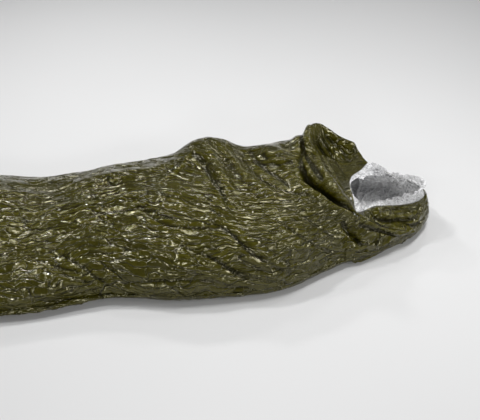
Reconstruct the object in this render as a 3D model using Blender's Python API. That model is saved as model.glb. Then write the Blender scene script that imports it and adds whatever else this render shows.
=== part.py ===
"""Survival bag in its filled shape: welded film panels, a bright lining and a hood round the face opening."""

import math

import bpy
import numpy as np

# Film walls, thickened so that each layer is a solid, and the gaps between layers and at welds
outer_wall = 0.0010
lining_wall = 0.0008
layer_gap = 0.0004
butt_gap = 0.0003

# Lengths along the bag, from the foot weld to the crown of the hood
body_length = 1.70
toe_length = 0.17
hood_length = 0.305

# Widest half of the body, and its stations: shares of the body length, and of that half width on the near
# side and on the far side, with the height of the top at each
body_half_width = 0.400
station_shares = (
    (0.00, 0.8800, 0.8800),
    (0.12, 0.9300, 0.9300),
    (0.27, 0.9500, 0.9450),
    (0.43, 0.8625, 0.9050),
    (0.58, 0.9700, 0.9875),
    (0.67, 0.9800, 1.0000),
    (0.77, 0.9550, 0.9375),
    (0.86, 0.8750, 0.8750),
    (0.93, 0.7625, 0.7625),
    (1.00, 0.6300, 0.6300),
)
station_tops = (0.205, 0.225, 0.172, 0.205, 0.248, 0.255, 0.262, 0.262, 0.235, 0.185)
arch_fullness = 0.80

# Seam line round the sides and the foot, and the curl of the ground film up to it
seam_height = 0.042
curl_radius = 0.045
seam_thickness = 0.0012
seam_fin = 0.008

# Neck weld, where the hood joins the body: its slant in plan and its width along the bag
neck_slant = 0.34
neck_turn_length = 0.42
neck_band_width = 0.010

# Hood: sideways lean of the crown, fullness of the near cheek, and the wall up to the rim
crown_offset = 0.028
near_cheek_tuck = 0.020
far_cheek_tuck = 0.030
crown_wall_height = 0.085
crown_wall_lean = 0.032
rim_angle_near = math.radians(56.0)
rim_angle_far = math.radians(38.0)
rim_angle_crown = math.radians(78.0)
hood_floor_spread = 0.5

# Rolled hem round the face opening, and how many of its own widths it stays short of the rim at the corners
hem_radius = 0.0022
hem_corner_widths = 2.2

# Large folds in the upper film: points of the crest as (along, across) from the neck, with the rise there
collar_crest = (
    (0.070, 0.200, 0.115),
    (-0.015, 0.235, 0.110),
    (-0.085, 0.275, 0.148),
    (-0.152, 0.240, 0.122),
    (-0.197, 0.148, 0.070),
    (-0.200, 0.069, 0.045),
    (-0.165, -0.033, 0.035),
    (-0.110, -0.123, 0.030),
    (-0.068, -0.160, 0.020),
)
collar_width = 0.040
arm_crest = (
    (-0.433, 0.296, 0.012),
    (-0.273, 0.060, 0.028),
    (-0.160, -0.085, 0.030),
    (-0.095, -0.150, 0.020),
)
arm_width = 0.035

# Pleats that the filled film keeps over the body, each a ridge in the same way
body_pleats = (
    (
        (-0.590, 0.244, 0.004), (-0.577, 0.213, 0.014), (-0.552, 0.134, 0.020),
        (-0.530, 0.004, 0.018), (-0.515, -0.097, 0.004),
    ),
    (
        (-0.487, 0.203, 0.004), (-0.460, 0.049, 0.015), (-0.419, -0.043, 0.016),
        (-0.368, -0.108, 0.014), (-0.332, -0.181, 0.004),
    ),
    (
        (-0.606, -0.176, 0.004), (-0.530, -0.239, 0.014), (-0.486, -0.281, 0.015),
        (-0.441, -0.318, 0.014), (-0.383, -0.348, 0.004),
    ),
    (
        (-0.850, -0.044, 0.004), (-0.800, -0.120, 0.012), (-0.724, -0.180, 0.013),
        (-0.650, -0.205, 0.010), (-0.600, -0.215, 0.004),
    ),
    (
        (-0.522, -0.336, 0.004), (-0.457, -0.357, 0.010), (-0.369, -0.362, 0.010),
        (-0.254, -0.325, 0.010), (-0.170, -0.282, 0.004),
    ),
    (
        (-0.820, -0.319, 0.004), (-0.717, -0.349, 0.009), (-0.633, -0.371, 0.009),
        (-0.542, -0.389, 0.003),
    ),
    (
        (-1.018, -0.047, 0.004), (-0.940, -0.024, 0.010), (-0.856, -0.017, 0.012),
        (-0.774, -0.023, 0.004),
    ),
    (
        (-1.240, -0.018, 0.004), (-1.150, 0.010, 0.011), (-1.034, -0.004, 0.008),
    ),
    (
        (-1.224, -0.203, 0.004), (-1.100, -0.200, 0.011), (-0.957, -0.215, 0.011),
        (-0.813, -0.231, 0.004),
    ),
    (
        (-1.100, 0.160, 0.004), (-0.980, 0.170, 0.010), (-0.850, 0.160, 0.010),
        (-0.730, 0.170, 0.004),
    ),
    (
        (-1.560, 0.100, 0.004), (-1.450, 0.110, 0.010), (-1.320, 0.130, 0.010),
        (-1.200, 0.120, 0.004),
    ),
    (
        (-1.550, -0.060, 0.004), (-1.430, -0.050, 0.010), (-1.310, -0.070, 0.010),
        (-1.190, -0.090, 0.004),
    ),
    (
        (-1.580, -0.220, 0.004), (-1.450, -0.240, 0.010), (-1.300, -0.250, 0.010),
        (-1.160, -0.270, 0.004),
    ),
)
pleat_width = 0.030

# Fading of the folds: towards the side seams, towards the neck weld, and beside the ends of the hood's rim
fold_side_fade = 0.40
fold_neck_fade = 0.050
fold_rim_turn = 0.25

# Rounded rises where the film stands over an elbow and a chest: along, across, rise, radius
elbow_rise = (-0.565, 0.300, 0.075, 0.105)
chest_rise = (-0.260, 0.190, 0.055, 0.120)

# Mesh: rows from the foot to the neck, closer under the collar, columns across, and steps of the curls
toe_rows = 4
body_rows = 29
collar_rows = 19
collar_run_length = 0.36
arch_columns = 42
curl_steps = 4
floor_run_rows = 12
hood_columns = 26
hood_wall_rows = 7
hood_floor_rows = 3
seam_rows = 30
hem_sides = 6
fold_steps = 8
normal_step = 1e-3
sharp_angle = math.radians(60.0)

# Derived sizes: the whole wall, the clearance beside a weld, and places along the bag
stack = outer_wall + layer_gap + lining_wall
seam_clear = 0.5 * seam_thickness + butt_gap
hood_gap = 0.5 * neck_band_width + butt_gap
body_end = body_length - hood_gap
collar_from_foot = body_length - collar_run_length
foot_x = -0.5 * (body_length + hood_length)
neck_x = foot_x + body_length


def clear_scene():
    """An empty scene for the parts."""
    for item in list(bpy.data.objects):
        bpy.data.objects.remove(item, do_unlink=True)


def film_material(name, colour, roughness, metallic):
    """Principled material of one film."""
    material = bpy.data.materials.new(name)
    material.use_nodes = True
    shader = material.node_tree.nodes["Principled BSDF"]
    shader.inputs["Base Color"].default_value = (*colour, 1.0)
    shader.inputs["Roughness"].default_value = roughness
    shader.inputs["Metallic"].default_value = metallic
    return material


def smooth_curve(knots, values, at):
    """Cubic curve through the knots, with the slope of each knot taken from its two neighbours."""
    knots = np.asarray(knots, float)
    values = np.asarray(values, float)
    slopes = np.gradient(values, knots)
    place = np.clip(np.searchsorted(knots, at, side="right") - 1, 0, len(knots) - 2)
    span = knots[place + 1] - knots[place]
    t = (at - knots[place]) / span
    return (
        values[place] * (1 + 2 * t) * (1 - t) ** 2
        + slopes[place] * span * t * (1 - t) ** 2
        + values[place + 1] * t * t * (3 - 2 * t)
        + slopes[place + 1] * span * t * t * (t - 1)
    )


def ease(t):
    """Smooth step from 0 to 1, level at both ends."""
    t = np.clip(t, 0.0, 1.0)
    return t * t * (3 - 2 * t)


def along_body(row):
    """Distance from the foot weld and closing factor of the toe, for a row value from 0 to 3.

    Rows 0 to 1 turn a quarter round the toe, 1 to 2 run to the collar, and 2 to 3 run on to the neck.
    """
    turn = 0.5 * math.pi * np.clip(row, 0.0, 1.0)
    body_run = np.clip(row - 1.0, 0.0, 1.0) * (collar_from_foot - toe_length)
    collar_run = np.clip(row - 2.0, 0.0, 1.0) * (body_end - collar_from_foot)
    return toe_length * (1 - np.cos(turn)) + body_run + collar_run, np.sin(turn)


def body_section(along):
    """Middle line, half width and top height of the body at a distance from the foot weld."""
    share, near, far = np.array(station_shares).T
    at = along / body_length
    near_half = body_half_width * smooth_curve(share, near, at)
    far_half = body_half_width * smooth_curve(share, far, at)
    return 0.5 * (far_half - near_half), 0.5 * (far_half + near_half), smooth_curve(share, station_tops, at)


def neck_share(along):
    """How far a section has changed from the body's shape, 0, to the neck's, 1."""
    return ease((along - body_length + neck_turn_length) / neck_turn_length)


def slanted(along, across):
    """Place along the bag, with the sections turned step by step to the slant of the neck."""
    return foot_x + along + neck_slant * neck_share(along) * across


def fold_rise(crest, width, along, across):
    """Rise of a fold: a bell of the given width swept along a smooth crest, as a sum over short steps.

    Along a straight crest the sum of rise * exp(-(d / width)^2) * step / (width * sqrt(pi)) is the crest's
    own rise times exp(-(distance / width)^2).
    """
    points = np.array(crest)
    knots = np.arange(len(points))
    fine = np.linspace(0, len(points) - 1, fold_steps * (len(points) - 1) + 1)
    line = np.stack([smooth_curve(knots, values, fine) for values in points.T])
    middle = 0.5 * (line[:, 1:] + line[:, :-1])
    step = np.hypot(*np.diff(line[:2]))
    distance = (along[..., None] - middle[0]) ** 2 + (across[..., None] - middle[1]) ** 2
    return (middle[2] * step * np.exp(-distance / width**2)).sum(axis=-1) / (width * math.sqrt(math.pi))


def mound_rise(mound, along, across):
    """Rise of a round mound, a bell of its distance from the middle."""
    at_along, at_across, rise, radius = mound
    return rise * np.exp(-((along - at_along) ** 2 + (across - at_across) ** 2) / radius**2)


def neck_fade(along, angle):
    """Share of the folds that is kept: all of it away from the neck, none where its weld holds the film."""
    near_free = ease((angle - rim_angle_near) / fold_rim_turn)
    far_free = ease((math.pi - rim_angle_far - angle) / fold_rim_turn)
    return 1 - (1 - ease((body_end - along) / fold_neck_fade)) * (1 - near_free * far_free)


def upper_film(row, column):
    """Arch of the upper film: half an ellipse from the near seam to the far one, with the folds added."""
    along, closing = along_body(row)
    middle, half, top = body_section(along)
    angle = math.pi * column
    across = middle - half * np.cos(angle)
    x = slanted(along, across)
    base = seam_height + seam_clear
    fullness = arch_fullness + (1 - arch_fullness) * neck_share(along)
    z = base + (top - base) * np.clip(np.sin(angle), 0.0, 1.0) ** fullness * closing
    from_neck = x - neck_x
    folds = fold_rise(collar_crest, collar_width, from_neck, across)
    folds = folds + fold_rise(arm_crest, arm_width, from_neck, across)
    for crest in body_pleats:
        folds = folds + fold_rise(crest, pleat_width, from_neck, across)
    folds = folds + mound_rise(elbow_rise, from_neck, across) + mound_rise(chest_rise, from_neck, across)
    fade = ease(np.sin(angle) / fold_side_fade) * neck_fade(along, angle)
    return np.stack([x, across, z + folds * fade], axis=-1)


def curl(turn):
    """Quarter curl of the ground film: inset and height over its turn, 0 at the seam and 1 at the floor."""
    angle = 0.5 * math.pi * turn
    return curl_radius * (1 - np.cos(angle)), np.sin(angle)


def ground_film(row, column):
    """Flat ground film with a quarter curl up to the seam at the foot and along both sides.

    Row 0 to 1 is the curl at the foot, and 1 to 2 the run to the neck. Column 0 to 1 is the near curl,
    1 to 2 the flat, and 2 to 3 the far curl.
    """
    foot_inset, foot_drop = curl(np.clip(row, 0.0, 1.0))
    along = foot_inset + np.clip(row - 1.0, 0.0, 1.0) * (body_end - curl_radius)
    middle, half, _ = body_section(along)
    near_inset, near_drop = curl(np.clip(column, 0.0, 1.0))
    far_inset, far_drop = curl(np.clip(3.0 - column, 0.0, 1.0))
    flat_run = np.clip(column - 1.0, 0.0, 1.0) * 2 * (half - curl_radius)
    across = middle - half + near_inset + flat_run + curl_radius - far_inset
    x = slanted(along, across)
    edge = seam_height - seam_clear
    z = edge * (1 - foot_drop * near_drop * far_drop)
    return np.stack([x, across, z + 0 * x], axis=-1)


def hood_outline(turn):
    """Seam-high outline of the hood in plan, from the near side (-90 degrees) round the crown to the far."""
    middle, half, _ = body_section(body_length)
    forward, sideways = np.cos(turn), np.sin(turn)
    tuck = np.where(turn < 0, near_cheek_tuck, far_cheek_tuck) * np.sin(2 * turn) ** 2
    x = neck_x + hood_gap + (hood_length - hood_gap) * forward + neck_slant * half * sideways**3
    y = middle + crown_offset * forward + half * sideways
    return np.stack([x - tuck * forward, y - tuck * sideways], axis=-1)


def hood_film(row, column):
    """Scoop of the hood. Row 0 to 1 goes round from the near side of the neck to the far side.

    Column 0 to 1 is the floor, 1 to 2 the curl and 2 to 3 the wall, which leans in to the face opening.
    """
    turn = math.pi * (row - 0.5)
    middle, half, top = body_section(body_length)
    edge = hood_outline(turn)
    centre = np.array([neck_x + hood_gap, middle])
    spread = hood_floor_spread * half * np.sin(turn)
    start = np.stack([centre[0] + neck_slant * spread, centre[1] + spread], axis=-1)
    inward = centre - edge
    reach = np.linalg.norm(inward, axis=-1, keepdims=True)
    inward = inward / reach
    at_neck = np.sin(turn) ** 2
    lean = at_neck * half * math.hypot(1.0, neck_slant) + (1 - at_neck) * crown_wall_lean
    height = at_neck * (top - seam_height) + (1 - at_neck) * crown_wall_height
    rim_at_neck = np.where(turn < 0, rim_angle_near, rim_angle_far)
    rim = at_neck * rim_at_neck + (1 - at_neck) * rim_angle_crown
    floor_share = np.clip(column, 0.0, 1.0)[..., None]
    curl_inset, curl_drop = curl(2.0 - np.clip(column, 1.0, 2.0))
    wall_turn = rim * np.clip(column - 2.0, 0.0, 1.0)
    foot = edge + inward * curl_radius
    plan = start + (foot - start) * floor_share
    plan = plan + inward * (curl_inset - curl_radius)[..., None] * (column > 1.0)[..., None]
    plan = plan + inward * (lean * (1 - np.cos(wall_turn)))[..., None]
    z = seam_height * (1 - curl_drop) * (column > 1.0) + height * np.sin(wall_turn)
    return np.concatenate([plan, z[..., None]], axis=-1)


def neck_film(row, column):
    """Band across the weld at the neck, from the near rim down under the bag and up to the far rim.

    Row 0 to 1 crosses the weld. Column 0 to 1 is the near wall, 1 to 2 its curl, 2 to 3 the floor,
    3 to 4 the far curl and 4 to 5 the far wall.
    """
    middle, half, top = body_section(body_length)
    near_turn = rim_angle_near * (1 - np.clip(column, 0.0, 1.0))
    far_turn = rim_angle_far * np.clip(column - 4.0, 0.0, 1.0)
    near_inset, near_drop = curl(np.clip(column - 1.0, 0.0, 1.0))
    far_inset, far_drop = curl(np.clip(4.0 - column, 0.0, 1.0))
    flat_run = np.clip(column - 2.0, 0.0, 1.0) * 2 * (half - curl_radius)
    lean = half * (1 - np.cos(near_turn)) - half * (1 - np.cos(far_turn))
    across = middle - half + lean + near_inset + flat_run + curl_radius - far_inset
    wall = (top - seam_height) * (np.sin(near_turn) + np.sin(far_turn))
    z = seam_height * (1 - near_drop * far_drop) + wall
    x = neck_x + (row - 0.5) * neck_band_width + neck_slant * (across - middle)
    return np.stack([x, across, z + 0 * x], axis=-1)


def surface_normals(surface, rows, columns):
    """Normals by central differences, taken just inside the edges, where the surface always has a slope."""
    r = np.clip(rows, rows.min() + 2 * normal_step, rows.max() - 2 * normal_step)
    c = np.clip(columns, columns.min() + 2 * normal_step, columns.max() - 2 * normal_step)
    along_rows = surface(r + normal_step, c) - surface(r - normal_step, c)
    along_columns = surface(r, c + normal_step) - surface(r, c - normal_step)
    normals = np.cross(along_rows, along_columns)
    return normals / np.linalg.norm(normals, axis=-1, keepdims=True)


def closer_diagonals(surface, rows, columns, skin):
    """For each cell of the grid, whether its second diagonal lies closer to the surface than its first."""
    centre = surface(
        0.25 * (rows[:-1, :-1] + rows[1:, :-1] + rows[1:, 1:] + rows[:-1, 1:]),
        0.25 * (columns[:-1, :-1] + columns[1:, :-1] + columns[1:, 1:] + columns[:-1, 1:]),
    )
    first = np.linalg.norm(0.5 * (skin[:-1, :-1] + skin[1:, 1:]) - centre, axis=-1)
    second = np.linalg.norm(0.5 * (skin[1:, :-1] + skin[:-1, 1:]) - centre, axis=-1)
    return second < first


def grid_triangles(second, offset, flipped):
    """Two triangles for each cell of a grid, cut along the diagonal that second chooses."""
    rows, columns = second.shape[0] + 1, second.shape[1] + 1
    index = offset + np.arange(rows * columns).reshape(rows, columns)
    a, b, c, d = index[:-1, :-1], index[1:, :-1], index[1:, 1:], index[:-1, 1:]
    last = np.where(second, d, c)
    lower = np.stack([a, b, last], axis=-1).reshape(-1, 3)
    upper = np.stack([np.where(second, b, a), c, d], axis=-1).reshape(-1, 3)
    triangles = np.concatenate([lower, upper])
    return triangles[:, ::-1] if flipped else triangles


def rim_loop(rows, columns):
    """Grid indices round the edge of a grid, in order."""
    index = np.arange(rows * columns).reshape(rows, columns)
    return np.concatenate([index[:-1, 0], index[-1, :-1], index[:0:-1, -1], index[0, :0:-1]])


def add_mesh(name, points, faces, material):
    """Named object from points and faces, smooth but for its sharp edges."""
    mesh = bpy.data.meshes.new(name)
    mesh.from_pydata([tuple(p) for p in points], [], [tuple(int(i) for i in f) for f in faces])
    mesh.materials.append(material)
    mesh.shade_smooth()
    mesh.set_sharp_from_angle(angle=sharp_angle)
    item = bpy.data.objects.new(name, mesh)
    bpy.context.scene.collection.objects.link(item)
    return item


def film_solid(name, surface, row_line, column_line, depths, outward, faced, material):
    """Closed solid between two depths under a surface, whose outer side is given by the sign of outward.

    Each edge in faced ends in a face that is square to the given direction, to lie flat against its weld.
    """
    rows, columns = np.meshgrid(row_line, column_line, indexing="ij")
    skin = surface(rows, columns)
    normals = surface_normals(surface, rows, columns)
    for edge, square_to in faced:
        normals[edge] -= (normals[edge] @ square_to)[..., None] * square_to
        normals[edge] /= np.linalg.norm(normals[edge], axis=-1, keepdims=True)
    inward = -outward * normals
    outer = (skin + inward * depths[0]).reshape(-1, 3)
    inner = (skin + inward * depths[1]).reshape(-1, 3)
    size = rows.shape
    count = rows.size
    loop = rim_loop(*size)
    after = np.roll(loop, -1)
    near_side = np.stack([after, loop, loop + count], axis=1)
    far_side = np.stack([after, loop + count, after + count], axis=1)
    second = closer_diagonals(surface, rows, columns, skin)
    top = grid_triangles(second, 0, False)
    bottom = grid_triangles(second, count, True)
    faces = np.concatenate([top, bottom, near_side, far_side])
    if outward < 0:
        faces = faces[:, ::-1]
    return add_mesh(name, np.concatenate([outer, inner]), faces, material)


def bar_solid(name, inner_low, outer_low, thickness, material):
    """Flat strip between two lines of points at its lower side, with square ends."""
    rise = np.array([0.0, 0.0, thickness])
    rings = np.stack([inner_low, outer_low, outer_low + rise, inner_low + rise], axis=1)
    return ring_solid(name, rings, False, material)


def ring_solid(name, rings, closed, material):
    """Solid through rings of points, closed on itself or capped at both ends, with its faces outward."""
    count, sides = rings.shape[:2]
    faces = []
    for i in range(count if closed else count - 1):
        here, there = i * sides, (i + 1) % count * sides
        for k in range(sides):
            after = (k + 1) % sides
            faces.append((here + k, here + after, there + after))
            faces.append((here + k, there + after, there + k))
    if not closed:
        last = (count - 1) * sides
        faces += [(0, k + 1, k) for k in range(1, sides - 1)]
        faces += [(last, last + k, last + k + 1) for k in range(1, sides - 1)]
    points = rings.reshape(-1, 3)
    faces = np.array(faces)
    corners = points[faces]
    volume = np.einsum("ij,ij->i", corners[:, 0], np.cross(corners[:, 1], corners[:, 2])).sum()
    if volume < 0:
        faces = faces[:, ::-1]
    return add_mesh(name, points, faces, material)


def side_seam(name, side, material):
    """Weld fin along one side of the body: side is -1 for the near one and 1 for the far one."""
    along = np.linspace(stack + butt_gap, body_end, seam_rows)
    middle, half, _ = body_section(along)
    low = seam_height - 0.5 * seam_thickness
    lines = []
    for reach in (half - stack, half + seam_fin):
        across = middle + side * reach
        lines.append(np.stack([slanted(along, across), across, np.full(len(along), low)], axis=-1))
    return bar_solid(name, lines[0], lines[1], seam_thickness, material)


def foot_seam(material):
    """Weld fin across the foot, as wide as the body and both side fins."""
    middle, half, _ = body_section(np.array([0.0]))
    across = np.linspace(middle[0] - half[0] - seam_fin, middle[0] + half[0] + seam_fin, 2)
    low = np.full(2, seam_height - 0.5 * seam_thickness)
    inner = np.stack([np.full(2, foot_x + stack), across, low], axis=-1)
    outer = np.stack([np.full(2, foot_x - seam_fin), across, low], axis=-1)
    return bar_solid("foot_seam", inner, outer, seam_thickness, material)


def edge_line(skin, run_on):
    """Middle of the wall along a free edge, and the direction square to it in which the film would run on."""
    edge = np.gradient(skin, axis=0)
    edge /= np.linalg.norm(edge, axis=-1, keepdims=True)
    run_on = run_on - (run_on * edge).sum(axis=-1, keepdims=True) * edge
    run_on /= np.linalg.norm(run_on, axis=-1, keepdims=True)
    normals = np.cross(edge, run_on)
    return skin - np.sign(normals[:, 2:]) * normals * 0.5 * stack, run_on


def mouth_hem(arch_lines, hood_rows, neckward, material):
    """Rolled hem round the face opening: a round bead that follows the chin edge and the hood's rim."""
    set_off = hem_radius + butt_gap
    _, half, _ = body_section(body_length)
    corner = hem_corner_widths * set_off / half
    first = (rim_angle_near + corner) / math.pi
    last = 1 - (rim_angle_far + corner) / math.pi
    chin_lines = arch_lines[(arch_lines > first) & (arch_lines < last)]
    chin_row = np.full(len(chin_lines), 3.0)
    chin, chin_on = edge_line(upper_film(chin_row, chin_lines), neckward)
    rim_skin = hood_film(hood_rows, np.full(len(hood_rows), 3.0))
    rim_before = hood_film(hood_rows, np.full(len(hood_rows), 3.0 - normal_step))
    rim, rim_on = edge_line(rim_skin, rim_skin - rim_before)
    centres = np.concatenate([chin + chin_on * set_off, (rim + rim_on * set_off)[::-1]])
    ahead = np.roll(centres, -1, axis=0) - np.roll(centres, 1, axis=0)
    ahead /= np.linalg.norm(ahead, axis=1, keepdims=True)
    across = np.cross(ahead, [0.0, 0.0, 1.0])
    across /= np.linalg.norm(across, axis=1, keepdims=True)
    upward = np.cross(across, ahead)
    angles = 2 * math.pi * np.arange(hem_sides) / hem_sides
    rings = centres[:, None] + hem_radius * (
        np.cos(angles)[None, :, None] * across[:, None] + np.sin(angles)[None, :, None] * upward[:, None]
    )
    return ring_solid("mouth_hem", rings, True, material)


def arch_rows():
    """Row values of the upper film, with closer rows under the collar."""
    toe = np.linspace(0.0, 1.0, toe_rows + 1)
    body = 1.0 + np.linspace(0.0, 1.0, body_rows + 1)[1:]
    collar = 2.0 + np.linspace(0.0, 1.0, collar_rows + 1)[1:]
    return np.concatenate([toe, body, collar])


def build():
    clear_scene()
    olive = film_material("olive_film", (0.078, 0.071, 0.013), 0.28, 0.0)
    bright = film_material("bright_lining", (0.72, 0.73, 0.74), 0.25, 0.9)
    weld = film_material("olive_weld", (0.058, 0.053, 0.011), 0.35, 0.0)
    clear = film_material("clear_hem", (0.80, 0.80, 0.78), 0.20, 0.3)

    outer = (0.0, outer_wall)
    lining = (outer_wall + layer_gap, stack)
    arch = arch_rows()
    arch_lines = np.linspace(0.0, 1.0, arch_columns + 1)
    curl_lines = np.linspace(0, 1, curl_steps + 1)
    floor_rows = np.concatenate([curl_lines, 1 + np.linspace(0, 1, floor_run_rows + 1)[1:]])
    floor_lines = np.concatenate([curl_lines, 2 + curl_lines])
    hood_rows = np.linspace(0.0, 1.0, hood_columns + 1)
    hood_lines = np.concatenate([
        np.linspace(0, 1, hood_floor_rows + 1),
        1 + curl_lines[1:],
        2 + np.linspace(0, 1, hood_wall_rows + 1)[1:],
    ])
    neck_lines = np.concatenate([
        np.linspace(0, 1, hood_wall_rows + 1),
        1 + curl_lines[1:],
        3 + curl_lines,
        4 + np.linspace(0, 1, hood_wall_rows + 1)[1:],
    ])

    upward = np.array([0.0, 0.0, 1.0])
    neckward = np.array([1.0, -neck_slant, 0.0]) / math.hypot(1.0, neck_slant)
    first_row, last_row = np.s_[0], np.s_[-1]
    first_column, last_column = np.s_[:, 0], np.s_[:, -1]
    panel_edges = ((first_column, upward), (last_column, upward), (first_row, upward), (last_row, neckward))
    hood_edges = ((first_row, neckward), (last_row, neckward), (first_column, neckward))
    neck_edges = ((first_row, neckward), (last_row, neckward))

    upper = (arch, arch_lines)
    floor = (floor_rows, floor_lines)
    scoop = (hood_rows, hood_lines)
    band = (np.array([0.0, 1.0]), neck_lines)
    pieces = [
        film_solid("outer_upper_panel", upper_film, *upper, outer, 1.0, panel_edges, olive),
        film_solid("lining_upper_panel", upper_film, *upper, lining, 1.0, panel_edges, bright),
        film_solid("outer_ground_panel", ground_film, *floor, outer, -1.0, panel_edges, olive),
        film_solid("lining_ground_panel", ground_film, *floor, lining, -1.0, panel_edges, bright),
        film_solid("outer_hood", hood_film, *scoop, outer, 1.0, hood_edges, olive),
        film_solid("hood_lining", hood_film, *scoop, lining, 1.0, hood_edges, bright),
        film_solid("neck_seam", neck_film, *band, (0.0, stack), -1.0, neck_edges, weld),
        side_seam("near_side_seam", -1.0, weld),
        side_seam("far_side_seam", 1.0, weld),
        foot_seam(weld),
        mouth_hem(arch_lines, hood_rows, neckward, clear),
    ]
    place_on_centre(pieces)
    return pieces


def place_on_centre(pieces):
    """Origin at the middle of the bottom face of the box round all pieces."""
    corners = np.concatenate([np.array([v.co for v in p.data.vertices]) for p in pieces])
    low, high = corners.min(axis=0), corners.max(axis=0)
    shift = np.array([0.5 * (low[0] + high[0]), 0.5 * (low[1] + high[1]), low[2]])
    print("centre shift", np.round(shift, 5), "size", np.round(high - low, 4))
    for piece in pieces:
        moved = np.array([v.co for v in piece.data.vertices]) - shift
        piece.data.vertices.foreach_set("co", moved.ravel())
        piece.data.update()


build()
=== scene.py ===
import math

import bpy
import numpy as np
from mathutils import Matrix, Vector


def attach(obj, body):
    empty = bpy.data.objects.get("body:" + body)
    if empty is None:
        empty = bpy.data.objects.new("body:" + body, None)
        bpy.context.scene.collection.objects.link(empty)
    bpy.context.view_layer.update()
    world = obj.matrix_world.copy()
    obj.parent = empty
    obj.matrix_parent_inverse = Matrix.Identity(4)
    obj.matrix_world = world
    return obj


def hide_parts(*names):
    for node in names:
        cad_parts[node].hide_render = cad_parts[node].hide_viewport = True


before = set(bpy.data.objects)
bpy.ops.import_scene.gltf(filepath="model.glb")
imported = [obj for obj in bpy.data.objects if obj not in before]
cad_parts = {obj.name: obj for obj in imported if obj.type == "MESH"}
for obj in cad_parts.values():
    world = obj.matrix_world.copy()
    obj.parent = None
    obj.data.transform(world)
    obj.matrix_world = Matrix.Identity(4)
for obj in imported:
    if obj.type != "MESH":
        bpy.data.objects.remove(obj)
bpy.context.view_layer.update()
print("frame loaded:", len(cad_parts), "nodes")

# Film bag in its filled shape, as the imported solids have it. Lengths are in metres.
bag = {
    "bodyLength": 1.70,
    "toeLength": 0.17,
    "hoodLength": 0.305,
    "stations": [  # share of the length, near half width, far half width, top
        (0.00, 0.352, 0.352, 0.205), (0.12, 0.372, 0.372, 0.225), (0.27, 0.380, 0.378, 0.172),
        (0.43, 0.345, 0.362, 0.205), (0.58, 0.388, 0.395, 0.248), (0.67, 0.392, 0.400, 0.255),
        (0.77, 0.382, 0.375, 0.262), (0.86, 0.350, 0.350, 0.262), (0.93, 0.305, 0.305, 0.235),
        (1.00, 0.252, 0.252, 0.185),
    ],
    "fullness": 0.80,
    "seamHeight": 0.042,
    "seamClear": 0.0009,
    "curlRadius": 0.045,
    "neckSlant": 0.34,
    "neckTurn": 0.42,
    "neckBand": 0.010,
    "neckFade": 0.05,
    "buttGap": 0.0003,
    "chinDraw": 0.034,
    "chinTurn": 1.75,
    "chinSpread": 0.40,
    "chinTip": 0.026,
    "chinTipTurn": 2.33,
    "chinTipSpread": 0.22,
    "chinReach": 0.16,
    "crownOffset": 0.028,
    "crownWall": 0.085,
    "crownLean": 0.032,
    "nearTuck": 0.020,
    "farTuck": 0.030,
    "rimNear": math.radians(56),
    "rimFar": math.radians(38),
    "rimCrown": math.radians(78),
    "rimFade": 0.25,
    "floorSpread": 0.5,
    "centre": (0.004, -0.00429, 0.0),
    "girth": 1.02,
}
hoodGap = 0.5 * bag["neckBand"] + bag["buttGap"]
bodyEnd = bag["bodyLength"] - hoodGap
footX = -0.5 * (bag["bodyLength"] + bag["hoodLength"])
neckX = footX + bag["bodyLength"]

# The large folds, in millimetres: crest points as (along from the neck, across, rise), and the crest's width.
largeFolds = {
    "collar": ([(70, 200, 115), (-15, 235, 110), (-85, 275, 148), (-152, 240, 122), (-197, 148, 70),
        (-200, 69, 45), (-165, -33, 35), (-110, -123, 30), (-68, -160, 20)], 40),
    "arm": ([(-433, 296, 12), (-273, 60, 28), (-160, -85, 30), (-95, -150, 20)], 35),
}
bodyPleats = [
    [(-590, 244, 4), (-577, 213, 14), (-552, 134, 20), (-530, 4, 18), (-515, -97, 4)],
    [(-487, 203, 4), (-460, 49, 15), (-419, -43, 16), (-368, -108, 14), (-332, -181, 4)],
    [(-606, -176, 4), (-530, -239, 14), (-486, -281, 15), (-441, -318, 14), (-383, -348, 4)],
    [(-850, -44, 4), (-800, -120, 12), (-724, -180, 13), (-650, -205, 10), (-600, -215, 4)],
    [(-522, -336, 4), (-457, -357, 10), (-369, -362, 10), (-254, -325, 10), (-170, -282, 4)],
    [(-820, -319, 4), (-717, -349, 9), (-633, -371, 9), (-542, -389, 3)],
    [(-1018, -47, 4), (-940, -24, 10), (-856, -17, 12), (-774, -23, 4)],
    [(-1240, -18, 4), (-1150, 10, 11), (-1034, -4, 8)],
    [(-1224, -203, 4), (-1100, -200, 11), (-957, -215, 11), (-813, -231, 4)],
    [(-1100, 160, 4), (-980, 170, 10), (-850, 160, 10), (-730, 170, 4)],
    [(-1560, 100, 4), (-1450, 110, 10), (-1320, 130, 10), (-1200, 120, 4)],
    [(-1550, -60, 4), (-1430, -50, 10), (-1310, -70, 10), (-1190, -90, 4)],
    [(-1580, -220, 4), (-1450, -240, 10), (-1300, -250, 10), (-1160, -270, 4)],
]
pleatWidth = 30

# Broad rises, in millimetres: along from the neck, across, rise, radius.
mounds = {
    "elbow": (-565, 300, 75, 105),
    "chest": (-260, 190, 55, 120),
    "farThigh": (-960, 290, 26, 150),
    "elbowHead": (-480, 300, 16, 50),
    "elbowFoot": (-650, 320, 13, 60),
}

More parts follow.
